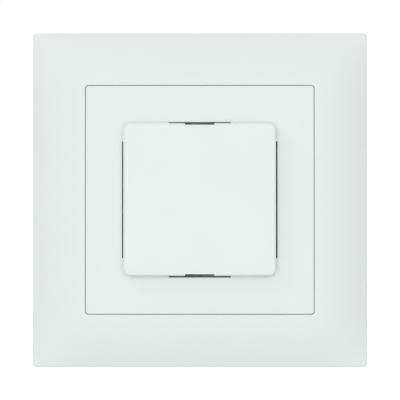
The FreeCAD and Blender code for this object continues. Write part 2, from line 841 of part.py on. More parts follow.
def make_moving_contact():
    x = pivot_x + contact_arm
    under = blade_thickness / 2
    shank = post(x, 0, contact_shank_radius, pivot_y - under, pivot_y + under)
    return tilted(joined(shank, [make_contact_head(-1), make_contact_head(1)]))


# The terminals: flat copper strips with an upright bar at each wire entry.

def make_bar(front, side_x, side_z):
    low = wire_place_z - bar_width / 2
    high = wire_place_z + bar_width / 2
    bar = block(bar_inner, bar_inner + bar_thickness, front, floor_front, low, high)
    if side_x < 0:
        bar = left_copy(bar)
    if side_z < 0:
        bar = lower_copy(bar)
    return bar


def make_changeover_terminal(front):
    back = front + strip_thickness
    far = wire_place_z + bar_width / 2
    half = contact_strip_half
    strip = block(contact_strip_left, contact_strip_right, front, back, -half, half)
    link = block(bar_inner, link_outer, front, back, -half, far)
    return joined(strip, [link, make_bar(front, 1, 1)])


def make_front_terminal():
    return make_changeover_terminal(make_strip_front)


def make_rear_terminal():
    return lower_copy(make_changeover_terminal(break_strip_front))


def make_common_terminal():
    front = common_strip_front
    back = front + strip_thickness
    far = wire_place_z + bar_width / 2
    side = block(-link_outer, -bar_inner, front, back, -far, far)
    reach = pivot_x + common_tongue_half + strip_thickness
    strip = block(-link_outer, reach, front, back, -contact_strip_half, contact_strip_half)
    left = pivot_x - common_tongue_half
    right = pivot_x + common_tongue_half
    tongue = block(left, right, common_tongue_front, back, -common_tongue_half * 2, common_tongue_half * 2)
    bars = [make_bar(common_bar_front, -1, 1), make_bar(common_bar_front, -1, -1)]
    return joined(side, [strip, tongue] + bars)


def make_front_contact():
    return post(fixed_contact_place, 0, fixed_contact_radius, make_face - fixed_contact_thickness, make_face)


def make_rear_contact():
    back = break_face + fixed_contact_thickness
    return post(fixed_contact_place, 0, fixed_contact_radius, break_face, back)


# Bent strips: a centre line of straight legs in the XY plane, rounded at each corner, given a thickness to
# both sides and a width along Z.

def bent_side(corners, side, half, bend):
    up = V(0, 0, 1)
    edges = []
    run = (corners[1] - corners[0]).normalize()
    start = corners[0] + up.cross(run) * (side * half)
    for index in range(1, len(corners) - 1):
        following = (corners[index + 1] - corners[index]).normalize()
        turn = run.getAngle(following)
        tangent = bend * math.tan(turn / 2)
        inward = (following - run).normalize()
        hub = corners[index] + inward * (bend / math.cos(turn / 2))
        offset = up.cross(run) * (side * half)
        radius = bend - half if offset.dot(inward) > 0 else bend + half
        before = corners[index] - run * tangent + offset
        after = corners[index] + following * tangent + up.cross(following) * (side * half)
        edges.append(Part.LineSegment(start, before).toShape())
        edges.append(Part.Arc(before, hub - inward * radius, after).toShape())
        start = after
        run = following
    end = corners[-1] + up.cross(run) * (side * half)
    edges.append(Part.LineSegment(start, end).toShape())
    return edges, end


def bent_strip(points, thickness, inner_radius, z0, z1):
    half = thickness / 2
    corners = [V(x, y, z0) for x, y in points]
    first_run = (corners[1] - corners[0]).normalize()
    across = V(0, 0, 1).cross(first_run) * half
    left, left_end = bent_side(corners, 1, half, inner_radius + half)
    right, right_end = bent_side(corners, -1, half, inner_radius + half)
    first = Part.LineSegment(corners[0] + across, corners[0] - across).toShape()
    last = Part.LineSegment(left_end, right_end).toShape()
    outline = Part.Wire(Part.__sortEdges__(left + right + [first, last]))
    return Part.Face(outline).extrude(V(0, 0, z1 - z0))


def make_clamp_spring():
    points = [(clamp_tip_x, clamp_front), (clamp_fold, clamp_front), (clamp_tip_x, clamp_tip_y)]
    low = wire_place_z - bar_width / 2
    high = wire_place_z + bar_width / 2
    return bent_strip(points, clamp_thickness, clamp_bend_radius, low, high)


def make_release_key():
    half = key_width / 2
    low = wire_place_z - key_height / 2
    high = wire_place_z + key_height / 2
    stalk = block(-half, half, key_flange_front, key_end, low, high)
    rim = [edge for edge in stalk.Edges if edge.BoundBox.YMin > key_end - near]
    stalk = stalk.makeChamfer(key_edge, rim)
    slot_half = key_slot_length / 2
    slot_low = wire_place_z - key_slot_width / 2
    slot_high = wire_place_z + key_slot_width / 2
    slot = block(-slot_half, slot_half, key_end - key_slot_depth, key_end + beyond, slot_low, slot_high)
    flange = block(-key_flange_half, key_flange_half, key_flange_front, key_flange_back, low, high)
    prong_inner = key_flange_half - key_prong_width
    prong = block(prong_inner, key_flange_half, key_prong_tip, key_flange_front + sunk, low, high)
    return joined(stalk, [flange, prong, left_copy(prong)]).cut(slot)


# The claws: two cheeks on a cross pin, joined by a slotted tab in front and a web behind, with teeth that
# bite into the box when the claw swings out.

def make_claw():
    middle = (claw_arm_inner + claw_arm_outer) / 2
    cheek = block(claw_arm_inner, claw_arm_outer, claw_pivot_y, claw_arm_end, cheek_inner, cheek_outer)
    eye = cross_pin(claw_pivot_x, claw_pivot_y, claw_eye_radius, cheek_inner, cheek_outer)
    pieces = [eye]
    for index in range(claw_tooth_count):
        y = claw_tooth_first + index * claw_tooth_pitch
        outline = [(middle, y), (claw_arm_outer, y)]
        outline.append((claw_arm_outer + claw_tooth_reach, y + claw_tooth_rise))
        outline.append((claw_arm_outer, y + claw_tooth_base))
        outline.append((middle, y + claw_tooth_base))
        pieces.append(outline_plate(outline, cheek_inner, cheek_outer))
    cheek = cheek.multiFuse(pieces)
    seat = claw_pin_radius + claw_eye_clearance
    cheek = cheek.cut(cross_pin(claw_pivot_x, claw_pivot_y, seat, cheek_inner - beyond, cheek_outer + beyond))
    tab = block(claw_arm_inner, claw_tab_end, claw_tab_front, claw_tab_back, -cheek_outer, cheek_outer)
    half = claw_tab_slot_half
    start = claw_tab_slot_start
    end = claw_tab_slot_end
    slot = block(start, end, claw_tab_front - beyond, claw_tab_back + beyond, -half, half)
    web_outer = claw_arm_inner + claw_web_thickness
    web = block(claw_arm_inner, web_outer, claw_web_front, claw_arm_end, -cheek_outer, cheek_outer)
    return joined(cheek, [lower_copy(cheek), tab.cut(slot), web])


def make_claw_pin():
    return cross_pin(claw_pivot_x, claw_pivot_y, claw_pin_radius, -claw_pin_half, claw_pin_half)


def make_claw_screw():
    x = claw_screw_place
    head = post(x, 0, claw_screw_head_radius, claw_screw_head_front, claw_screw_head_back)
    rim = [edge for edge in head.Edges if edge.BoundBox.YMax < claw_screw_head_front + near]
    head = head.makeChamfer(claw_screw_head_edge, rim)
    shank = post(x, 0, claw_screw_radius, claw_screw_head_back, claw_screw_tip)
    tip = [edge for edge in shank.Edges if edge.BoundBox.YMin > claw_screw_tip - near]
    shank = shank.makeChamfer(claw_screw_point, tip)
    half = claw_screw_slot_width / 2
    slot_back = claw_screw_head_front + claw_screw_slot_depth
    reach = claw_screw_head_radius + beyond
    slot = block(x - reach, x + reach, claw_screw_head_front - beyond, slot_back, -half, half)
    arm = claw_screw_cross_half
    cross = block(x - half, x + half, claw_screw_head_front - beyond, slot_back, -arm, arm)
    return joined(head, [shank]).cut(slot).cut(cross)


def make_claw_nut():
    x = claw_screw_place
    half = nut_half_height
    nose = cross_pin(x, nut_nose_centre, nut_nose_radius, -half, half)
    back = block(x - nut_nose_radius, x + nut_nose_radius, nut_nose_centre, nut_back, -half, half)
    front = nut_nose_centre - nut_nose_radius - beyond
    hole = post(x, 0, claw_screw_radius + nut_clearance, front, nut_back + beyond)
    return joined(nose, [back]).cut(hole)


# Every piece is written to its own file.

save("cover_frame", make_cover_frame())
save("centre_plate", make_centre_plate())
save("button_cap", make_button_cap())
save("button_carrier", make_button_carrier())
save("return_spring_upper", make_return_spring(return_spring_place))
save("return_spring_lower", make_return_spring(-return_spring_place))
save("support_ring", make_support_ring())
save("housing_cover", make_housing_cover())
save("assembly_rivets", make_assembly_rivets())
save("base_housing", make_base_housing())
save("contact_lever", make_contact_lever())
save("lever_pad", make_lever_pad())
save("moving_contact", make_moving_contact())
save("lever_spring", make_lever_spring())
save("common_terminal", make_common_terminal())
save("make_terminal", make_front_terminal())
save("break_terminal", make_rear_terminal())
save("make_contact", make_front_contact())
save("break_contact", make_rear_contact())

clamp = make_clamp_spring()
save("clamp_spring_upper_right", clamp)
save("clamp_spring_upper_left", left_copy(clamp))
save("clamp_spring_lower_right", lower_copy(clamp))
save("clamp_spring_lower_left", lower_copy(left_copy(clamp)))

key = make_release_key()
save("release_key_upper", key)
save("release_key_lower", lower_copy(key))

claw = make_claw()
claw_pin = make_claw_pin()
claw_screw = make_claw_screw()
claw_nut = make_claw_nut()
save("claw_right", claw)
save("claw_left", left_copy(claw))
save("claw_pin_right", claw_pin)
save("claw_pin_left", left_copy(claw_pin))
save("claw_screw_right", claw_screw)
save("claw_screw_left", left_copy(claw_screw))
save("claw_nut_right", claw_nut)
save("claw_nut_left", left_copy(claw_nut))
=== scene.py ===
# %% [markdown]
# # A flush-mounted push button light switch
# The construction is already drawn piece by piece and packed as a fixed frame. This lesson dresses it. The three
# pieces that the room sees, the cover frame, the centre plate and the button, are made again as smooth meshes,
# and every other piece keeps its drawn form and gets a finish. The first cell opens the frame.

# %% Open the frame
import math
import bpy
import bmesh
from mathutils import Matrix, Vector


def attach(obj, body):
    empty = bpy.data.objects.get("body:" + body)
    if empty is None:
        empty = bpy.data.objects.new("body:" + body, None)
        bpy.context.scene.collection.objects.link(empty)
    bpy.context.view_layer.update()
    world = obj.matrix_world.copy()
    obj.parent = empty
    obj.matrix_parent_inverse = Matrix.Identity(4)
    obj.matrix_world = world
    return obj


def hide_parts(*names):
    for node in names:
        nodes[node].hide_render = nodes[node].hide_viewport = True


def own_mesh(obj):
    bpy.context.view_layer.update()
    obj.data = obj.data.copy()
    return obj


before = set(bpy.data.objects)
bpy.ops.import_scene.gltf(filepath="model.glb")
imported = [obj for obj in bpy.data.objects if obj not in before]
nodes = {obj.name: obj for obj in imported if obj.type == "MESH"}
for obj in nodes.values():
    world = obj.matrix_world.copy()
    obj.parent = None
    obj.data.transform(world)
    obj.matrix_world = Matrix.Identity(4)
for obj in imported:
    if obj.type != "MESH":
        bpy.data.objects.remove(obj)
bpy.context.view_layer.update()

MM = 0.001
print("nodes:", len(nodes))

# %% [markdown]
# ## The crown
# The cover frame and the centre plate are cut from one gently crowned square. Its height above the wall is a flat
# top that falls away along the middle of each side and runs out level in the corners. A formula is the surest
# way to draw it: every vertex of both pieces asks the same function how high it stands, so the two surfaces
# meet without a kink.

# %% Height of the crowned front
FRAME_HALF = 40.5
CROWN_EDGE = 5.0
CROWN_RISE = 4.8
CROWN_POWER = 6


def crown_height(x, z):
    """Height above the wall in millimetres at x, z in millimetres."""
    across = 1 - min(1, abs(x / FRAME_HALF)) ** CROWN_POWER
    upright = 1 - min(1, abs(z / FRAME_HALF)) ** CROWN_POWER
    return CROWN_EDGE + CROWN_RISE * across * upright


print("crown in the middle:", crown_height(0, 0), "mm, at an edge:", crown_height(FRAME_HALF, 0), "mm")

# %% [markdown]
# ## Rings of a rounded square
# All three pieces in front are squares with rounded corners, and so is every step, wall and ledge on them. Such a
# piece is a stack of rings that share one way of counting their points, joined ring to ring by strips of
# faces. That keeps the faces even, gives the long sides enough points to follow the crown, and leaves no
# boolean seams. A lathe can't do it, because the outline isn't round, and an extrusion can't follow the crown.

# %% Ring outlines
SIDE_STEPS = 36
CORNER_STEPS = 8


def square_ring(half, corner):
    """Points (x, z) round a rounded square, in millimetres, starting at the right side."""
    flat = half - corner
    points = []
    for quarter in range(4):
        turn = quarter * math.pi / 2
        side = [(half, flat * (2 * step / SIDE_STEPS - 1)) for step in range(SIDE_STEPS)]
        for step in range(CORNER_STEPS):
            angle = step / CORNER_STEPS * math.pi / 2
            side.append((flat + corner * math.cos(angle), flat + corner * math.sin(angle)))
        for x, z in side:
            points.append((x * math.cos(turn) - z * math.sin(turn), x * math.sin(turn) + z * math.cos(turn)))
    return points


print("points in a ring:", len(square_ring(FRAME_HALF, 1)))

# %% [markdown]
# ## From rings to a piece
# A ring of vertices stands at one depth, or follows the crown when its depth is a function. Strips of four-sided
# faces join it to the next ring. At the end the mesh is welded, its faces are turned outward, and it becomes an
# object. Working on a bmesh rather than with mesh tools keeps every step in plain sight and gives the same mesh
# each time.

# %% Rings, strips and pieces
WELD_DISTANCE = 0.002


def new_piece(name, mesh_builder):
    """An object whose mesh the builder has just drawn, with clean outward faces."""
    bmesh.ops.remove_doubles(mesh_builder, verts=mesh_builder.verts, dist=WELD_DISTANCE * MM)
    bmesh.ops.recalc_face_normals(mesh_builder, faces=mesh_builder.faces)
    mesh = bpy.data.meshes.new(name)
    mesh_builder.to_mesh(mesh)
    mesh_builder.free()
    piece = bpy.data.objects.new(name, mesh)
    bpy.context.scene.collection.objects.link(piece)
    return piece


def add_ring(mesh_builder, points, depth):
    """Vertices of one ring. depth is a number or a function of x and z, in millimetres from the wall."""
    ring = []
    for x, z in points:
        y = depth(x, z) if callable(depth) else depth
        ring.append(mesh_builder.verts.new((x * MM, y * MM, z * MM)))
    return ring


def add_square(mesh_builder, half, corner, depth):
    """One ring along a rounded square."""
    return add_ring(mesh_builder, square_ring(half, corner), depth)


def join_rings(mesh_builder, first, second):
    """A strip of faces between two rings that have the same number of points."""
    for index in range(len(first)):
        after = (index + 1) % len(first)
        mesh_builder.faces.new((first[index], first[after], second[after], second[index]))


def stack_rings(mesh_builder, rings, closed):
    """Strips between the rings in order, and from the last to the first if the section is closed."""
    for first, second in zip(rings, rings[1:]):
        join_rings(mesh_builder, first, second)
    if closed:
        join_rings(mesh_builder, rings[-1], rings[0])


def smooth_by_angle(piece, degrees):
    """Smooth shading, with a crease wherever two faces meet at more than the angle."""
    piece.data.shade_smooth()
    piece.data.set_sharp_from_angle(angle=math.radians(degrees))


print("points closer than", WELD_DISTANCE, "mm are welded")

# %% [markdown]
# ## Softened edges between rings
# A moulded edge is never sharp: it carries a small round that catches the light as a thin line. Between a front
# face and a wall the rings step round a quarter circle, so the round is real geometry and shows in the outline
# as well as in the shading.

# %% Quarter rounds
ROUND_STEPS = 4


def edge_round(radius, steps=ROUND_STEPS):
    """Pairs (inset, drop) round a quarter circle, from the face to the wall, in millimetres."""
    pairs = []
    for step in range(steps + 1):
        angle = step / steps * math.pi / 2
        pairs.append((radius * (1 - math.sin(angle)), radius * (1 - math.cos(angle))))
    return pairs


print("round of 1 mm:", [(round(a, 2), round(b, 2)) for a, b in edge_round(1)])

# %% [markdown]
# ## The cover frame
# The frame is one moulding: a crowned skin, four side walls that meet the wall, an inner collar with the
# ledge that the centre plate clamps, and thin ribs behind. Its front is a skin that follows the crown, so rings
# are laid over the crown between two rounded squares, closer together towards the edge, where it bends most.

# %% Sizes and skin of the cover frame
FRAME_CORNER = 0.7
FRAME_OPENING_HALF = 27.75
FRAME_OPENING_CORNER = 0.8
FRAME_EDGE_ROUND = 0.35
FRAME_EDGE_DROP = 0.8
OPENING_EDGE_ROUND = 0.2
SKIN = 2.0
SIDE_WALL = 2.0
SIDE_MIDDLE = -2.5
FOOT_CHAMFER = 0.25
COLLAR_WALL = 1.6
COLLAR_HALF = FRAME_OPENING_HALF + COLLAR_WALL
COLLAR_CORNER = FRAME_OPENING_CORNER + COLLAR_WALL
LEDGE_FRONT = -5.8
LEDGE_BACK = -4.6
LEDGE_WIDTH = 2.5
LEDGE_HALF = FRAME_OPENING_HALF - LEDGE_WIDTH
SKIN_RINGS = 22
SKIN_BACK_RINGS = 10
SMOOTH_ANGLE = 28


def on_crown(drop):
    """The depth of a point that lies so many millimetres under the crown."""
    return lambda x, z: -(crown_height(x, z) - drop)


def crown_skin(mesh_builder, inner, inner_corner, outer, outer_corner, drop, count):
    """Rings over the crown between two rounded squares, a little closer together towards the outer one."""
    rings = []
    for index in range(count + 1):
        share = math.sin(index / count * math.pi / 2)
        half = inner + (outer - inner) * share
        corner = inner_corner + (outer_corner - inner_corner) * share
        rings.append(add_square(mesh_builder, half, corner, on_crown(drop)))
    return rings


print("frame opening:", 2 * FRAME_OPENING_HALF, "mm, rings over the skin:", SKIN_RINGS)

# %% [markdown]
# ## One closed section
# The section of the frame is drawn as one closed loop of rings, from the opening outward over the skin, down the
# side, in under the skin and back up the collar. A thickened surface would be quicker to make, but it can't give
# the collar and its ledge.

# %% Draw the cover frame
def draw_cover_frame():
    """The closed section of the frame, ring by ring."""
    builder = bmesh.new()
    rings = []
    for inset, drop in reversed(edge_round(OPENING_EDGE_ROUND)):
        half = FRAME_OPENING_HALF + inset
        corner = FRAME_OPENING_CORNER + inset
        rings.append(add_square(builder, half, corner, on_crown(drop)))
    inner = FRAME_OPENING_HALF + OPENING_EDGE_ROUND
    outer = FRAME_HALF - FRAME_EDGE_ROUND
    inner_corner = FRAME_OPENING_CORNER + OPENING_EDGE_ROUND
    outer_corner = FRAME_CORNER - FRAME_EDGE_ROUND / 2
    rings.extend(crown_skin(builder, inner, inner_corner, outer, outer_corner, 0, SKIN_RINGS)[1:])
    for inset, drop in edge_round(FRAME_EDGE_ROUND)[1:]:
        rings.append(add_square(builder, FRAME_HALF - inset, FRAME_CORNER, on_crown(drop * FRAME_EDGE_DROP)))
    rings.append(add_square(builder, FRAME_HALF, FRAME_CORNER, SIDE_MIDDLE))
    rings.append(add_square(builder, FRAME_HALF, FRAME_CORNER, -FOOT_CHAMFER))
    rings.append(add_square(builder, FRAME_HALF - FOOT_CHAMFER, FRAME_CORNER, 0))
    cavity = FRAME_HALF - SIDE_WALL
    rings.append(add_square(builder, cavity, FRAME_CORNER, 0))
    under = crown_skin(builder, COLLAR_HALF, COLLAR_CORNER, cavity, FRAME_CORNER, SKIN, SKIN_BACK_RINGS)
    rings.extend(reversed(under))
    rings.append(add_square(builder, COLLAR_HALF, COLLAR_CORNER, LEDGE_BACK))
    rings.append(add_square(builder, LEDGE_HALF, FRAME_OPENING_CORNER, LEDGE_BACK))
    rings.append(add_square(builder, LEDGE_HALF, FRAME_OPENING_CORNER, LEDGE_FRONT))
    rings.append(add_square(builder, FRAME_OPENING_HALF, FRAME_OPENING_CORNER, LEDGE_FRONT))
    stack_rings(builder, rings, closed=True)
    return builder


builder = draw_cover_frame()
print("faces of the frame's section:", len(builder.faces))

# %% [markdown]
# ## Ribs behind the frame
# Thin ribs tie the collar to the side walls so that the skin can't drum. Each is a short wall whose front edge
# follows the crown from inside, so it is drawn as a row of small sections along the rib rather than as a box.

# %% Ribs behind the frame
RIB_PLACE = 15.0
RIB_HALF = 0.6
RIB_BACK = -1.6
RIB_STEPS = 8
RIB_IN_SKIN = 0.7
BURIED = 0.4


def add_rib(builder, quarter, place):
    """A thin rib from the collar to the side wall, buried a little in both and in the skin."""
    turn = quarter * math.pi / 2
    inner = COLLAR_HALF - BURIED
    outer = FRAME_HALF - SIDE_WALL + BURIED
    columns = []
    for step in range(RIB_STEPS + 1):
        along = inner + (outer - inner) * step / RIB_STEPS
        front = -(crown_height(place, along) - SKIN * RIB_IN_SKIN)
        column = []
        for side, y in ((-RIB_HALF, front), (RIB_HALF, front), (RIB_HALF, RIB_BACK), (-RIB_HALF, RIB_BACK)):
            x = place + side
            turned_x = x * math.cos(turn) - along * math.sin(turn)
            turned_z = x * math.sin(turn) + along * math.cos(turn)
            column.append(builder.verts.new((turned_x * MM, y * MM, turned_z * MM)))
        columns.append(column)
    stack_rings(builder, columns, closed=False)
    builder.faces.new(columns[0])
    builder.faces.new(columns[-1])


for quarter in range(4):
    for place in (-RIB_PLACE, RIB_PLACE):
        add_rib(builder, quarter, place)
cover = new_piece("cover_frame_moulding", builder)
smooth_by_angle(cover, SMOOTH_ANGLE)
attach(cover, "insert")
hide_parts("cover_frame")
print("cover frame faces:", len(cover.data.polygons))

# %% [markdown]
# ## The centre plate
# The plate carries on the crown a tenth of a millimetre lower. Its outer skirt rests on the frame's ledge, and
# a square well in its middle guides the button. A bent pad closes the gap in each corner of the well, which is
# why the shadow line round the button is dark only along the middle of each side.

# %% Draw the centre plate
PLATE_GAP = 0.12
PLATE_HALF = FRAME_OPENING_HALF - PLATE_GAP
PLATE_CORNER = FRAME_OPENING_CORNER - PLATE_GAP
PLATE_DROP = 0.1
PLATE_ROUND = 0.2
PLATE_WALL = 2.0
SKIRT = 1.5
BUTTON_HALF = 18.4
BUTTON_CORNER = 1.6
BUTTON_GAP = 0.35
WELL_HALF = BUTTON_HALF + BUTTON_GAP
WELL_CORNER = BUTTON_CORNER + BUTTON_GAP
WELL_ROUND = 0.2
WELL_WALL = 1.2
WELL_BACK = -3.3
PLATE_RINGS = 14
PLATE_BACK_RINGS = 6


def draw_centre_plate():
    """The closed section of the plate, from the well outward, down the skirt and back."""
    builder = bmesh.new()
    rings = []
    for inset, drop in reversed(edge_round(WELL_ROUND)):
        depth = on_crown(PLATE_DROP + drop)
        rings.append(add_square(builder, WELL_HALF + inset, WELL_CORNER + inset, depth))
    inner = WELL_HALF + WELL_ROUND
    outer = PLATE_HALF - PLATE_ROUND
    inner_corner = WELL_CORNER + WELL_ROUND
    rings.extend(crown_skin(builder, inner, inner_corner, outer, PLATE_CORNER, PLATE_DROP, PLATE_RINGS)[1:])
    for inset, drop in edge_round(PLATE_ROUND)[1:]:
        rings.append(add_square(builder, PLATE_HALF - inset, PLATE_CORNER, on_crown(PLATE_DROP + drop)))
    rings.append(add_square(builder, PLATE_HALF, PLATE_CORNER, LEDGE_FRONT))
    hollow = PLATE_HALF - SKIRT
    rings.append(add_square(builder, hollow, PLATE_CORNER, LEDGE_FRONT))
    collar = WELL_HALF + WELL_WALL
    collar_corner = WELL_CORNER + WELL_WALL
    back = PLATE_DROP + PLATE_WALL
    under = crown_skin(builder, collar, collar_corner, hollow, PLATE_CORNER, back, PLATE_BACK_RINGS)
    rings.extend(reversed(under))
    rings.append(add_square(builder, collar, collar_corner, WELL_BACK))
    rings.append(add_square(builder, WELL_HALF, WELL_CORNER, WELL_BACK))
    stack_rings(builder, rings, closed=True)
    return builder


builder = draw_centre_plate()
print("faces of the plate's section:", len(builder.faces))

# %% [markdown]
# ## Bent guide pads
# A guide pad is a small rectangle swept round the corner of the well: one loop of four points at each step, joined
# loop to loop and closed at both ends. A block at each side of the corner would leave the corner itself open, and
# the dark gap would show there. The root of each pad is buried in the moulding, so no crack shows.

# %% Bent pads
PAD_CLEARANCE = 0.05
PAD_FRONT = -9.55
SIDE_PAD_REACH = 4.65
TOP_PAD_REACH = 11.2


def corner_path(half, corner):
    """Points (x, z) from the right side of a rounded square, round its upper right corner, to its top."""
    middle = half - corner
    points = [(half, WELL_HALF - SIDE_PAD_REACH)]
    for step in range(CORNER_STEPS + 1):
        angle = step / CORNER_STEPS * math.pi / 2
        points.append((middle + corner * math.cos(angle), middle + corner * math.sin(angle)))
    points.append((WELL_HALF - TOP_PAD_REACH, half))
    return points


def add_corner_pad(builder, side_x, side_z):
    """The pad in one corner, from the clearance round the button to its root in the wall of the well."""
    inner = corner_path(BUTTON_HALF + PAD_CLEARANCE, BUTTON_CORNER + PAD_CLEARANCE)
    root = corner_path(WELL_HALF + BURIED, WELL_CORNER + BURIED)
    loops = []
    for (x0, z0), (x1, z1) in zip(inner, root):
        section = ((x0, PAD_FRONT, z0), (x1, PAD_FRONT, z1), (x1, WELL_BACK, z1), (x0, WELL_BACK, z0))
        loops.append([builder.verts.new((side_x * x * MM, y * MM, side_z * z * MM)) for x, y, z in section])
    stack_rings(builder, loops, closed=False)
    builder.faces.new(loops[0])
    builder.faces.new(loops[-1])


for side_x in (-1, 1):
    for side_z in (-1, 1):
        add_corner_pad(builder, side_x, side_z)
print("bent pads: 4, each", round(WELL_BACK - PAD_FRONT, 2), "mm deep")

# %% [markdown]
# ## Snap legs
# Each leg is a straight block, and its barb is a second block with a larger chamfer that slides over the edge of the
# support ring. Boxes with chamfered edges are enough here, because nothing on a leg is curved.

# %% Little blocks
RIB_CHAMFER = 0.08
LEG_CHAMFER = 0.1
BARB_CHAMFER = 0.25


def add_block(builder, low, high, chamfer):
    """A box between two corners in millimetres, its edges taken off by the chamfer."""
    made = bmesh.ops.create_cube(builder, size=1.0)
    centre = [(a + b) / 2 for a, b in zip(low, high)]
    span = [b - a for a, b in zip(low, high)]
    for vertex in made["verts"]:
        vertex.co = Vector([(c + v * s) * MM for c, v, s in zip(centre, vertex.co, span)])
    edges = dict.fromkeys(edge for vertex in made["verts"] for edge in vertex.link_edges)
    bmesh.ops.bevel(builder, geom=list(edges), offset=chamfer * MM, segments=1, affect="EDGES")


LEG_PLACE = (12.0, 18.0)
LEG_DEPTH = (-8.3, 1.8)
LEG_THICK = 1.3
LEG_CLEARANCE = 0.3
LEG_OUTSIDE = LEDGE_HALF - LEG_CLEARANCE
LEG_INSIDE = LEG_OUTSIDE - LEG_THICK
BARB_FRONT = 0.05
BARB_ROOT = LEG_OUTSIDE - 0.2
BARB_TIP = LEG_OUTSIDE + 0.8

for side_x in (-1, 1):
    for side_z in (-1, 1):
        x0, x1 = sorted((side_x * LEG_PLACE[0], side_x * LEG_PLACE[1]))
        z0, z1 = sorted((side_z * LEG_INSIDE, side_z * LEG_OUTSIDE))
        add_block(builder, (x0, LEG_DEPTH[0], z0), (x1, LEG_DEPTH[1], z1), LEG_CHAMFER)
        z0, z1 = sorted((side_z * BARB_ROOT, side_z * BARB_TIP))
        add_block(builder, (x0, BARB_FRONT, z0), (x1, LEG_DEPTH[1], z1), BARB_CHAMFER)
plate = new_piece("centre_plate_moulding", builder)
smooth_by_angle(plate, SMOOTH_ANGLE)
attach(plate, "insert")
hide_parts("centre_plate")
print("centre plate faces:", len(plate.data.polygons))

# %% [markdown]
# ## The button cap
# The cap is a square cup with a flat face, a soft round all along its front edge and a shallow notch in the
# middle of its top and bottom side. In each ring the points inside the notch are held back to its floor, and the
# two points next to each end of the notch are drawn together, so the notch starts with a crisp wall. A
# boolean cut would do the same, but it leaves long thin faces that shade badly next to the round.

# %% Rings with a notch
BUTTON_FRONT = -14.0
BUTTON_ROUND = 0.5
BUTTON_SKIRT = -6.5
BUTTON_WALL = 1.6
BUTTON_FACE = 1.8
NOTCH_HALF = 3.55
NOTCH_DEPTH = 0.4
NOTCH_WALL = 0.04
NOTCH_CATCH = 1.0
FACE_MARGIN = 2.0
CAP_ROUND_STEPS = 6
CAP_CORNER_SHARE = 0.6
SKIRT_CHAMFER = 0.15
HOLLOW_CORNER = 1.0
CAP_SMOOTH_ANGLE = 35


def notched_ring(half, corner):
    """A rounded square whose top and bottom side step back to the notch floor."""
    floor = BUTTON_HALF - NOTCH_DEPTH
    points = []
    for x, z in square_ring(half, corner):
        if abs(z) > BUTTON_HALF / 2 and abs(x) < NOTCH_HALF + NOTCH_CATCH:
            outside = abs(x) >= NOTCH_HALF
            if abs(abs(x) - NOTCH_HALF) < NOTCH_CATCH:
                x = math.copysign(NOTCH_HALF + (NOTCH_WALL if outside else -NOTCH_WALL), x)
            z = z if outside else math.copysign(min(abs(z), floor), z)
        points.append((x, z))
    return points


print("notch:", 2 * NOTCH_HALF, "mm wide and", NOTCH_DEPTH, "mm deep")

# %% [markdown]
# ## The cup of the button
# The cup is one open stack of rings: from a flat middle over the round to the skirt, round its foot and up inside
# to the back of the face. One large face closes each end. The round needs more steps than the other edges,
# because its highlight runs along the whole outline of the button.

# %% Draw the button cap
def draw_button_cap():
    """The cup from the middle of its face over the round, down the skirt and up inside."""
    builder = bmesh.new()
    face_ring = notched_ring(BUTTON_HALF - BUTTON_ROUND - FACE_MARGIN, BUTTON_CORNER)
    rings = [add_ring(builder, face_ring, BUTTON_FRONT)]
    builder.faces.new(rings[0])
    for inset, drop in edge_round(BUTTON_ROUND, CAP_ROUND_STEPS):
        ring = notched_ring(BUTTON_HALF - inset, BUTTON_CORNER - inset * CAP_CORNER_SHARE)
        rings.append(add_ring(builder, ring, BUTTON_FRONT + drop))
    rings.append(add_ring(builder, notched_ring(BUTTON_HALF, BUTTON_CORNER), BUTTON_SKIRT - SKIRT_CHAMFER))
    rings.append(add_ring(builder, notched_ring(BUTTON_HALF - SKIRT_CHAMFER, BUTTON_CORNER), BUTTON_SKIRT))
    hollow = BUTTON_HALF - BUTTON_WALL
    rings.append(add_square(builder, hollow, HOLLOW_CORNER, BUTTON_SKIRT))
    rings.append(add_square(builder, hollow, HOLLOW_CORNER, BUTTON_FRONT + BUTTON_FACE))
    stack_rings(builder, rings, closed=False)
    builder.faces.new(rings[-1])
    return builder


builder = draw_button_cap()
print("faces of the cup:", len(builder.faces))

# %% [markdown]
# ## Behind the button's face
# Two pairs of low ribs cross behind the face, and a post stands at each crossing. Its pin goes through the
# carrier and is melted over into a flat head. Round parts are stacks of circles, closed at both ends.

# %% Ribs and melted posts
TURNED_SEGMENTS = 28
STAKE_PLACE = 11.0
CAP_RIB_HALF = 0.5
CAP_RIB_BACK = -10.6
CAP_RIB_IN_FACE = 0.2
CARRIER_FRONT = -8.6
CARRIER_BACK = -7.0
POST_PROFILE = ((2.0, -12.5), (2.0, CARRIER_FRONT), (1.0, CARRIER_FRONT), (1.0, CARRIER_BACK))
HEAD_PROFILE = ((1.7, CARRIER_BACK), (1.7, -6.6), (1.45, -6.4))


def add_turned(builder, x, z, profile):
    """A form turned about an axis along Y through x, z, from pairs (radius, depth)."""
    rings = []
    for radius, depth in profile:
        circle = []
        for index in range(TURNED_SEGMENTS):
            angle = 2 * math.pi * index / TURNED_SEGMENTS
            circle.append((x + radius * math.cos(angle), z + radius * math.sin(angle)))
        rings.append(add_ring(builder, circle, depth))
    stack_rings(builder, rings, closed=False)
    builder.faces.new(rings[0])
    builder.faces.new(rings[-1])


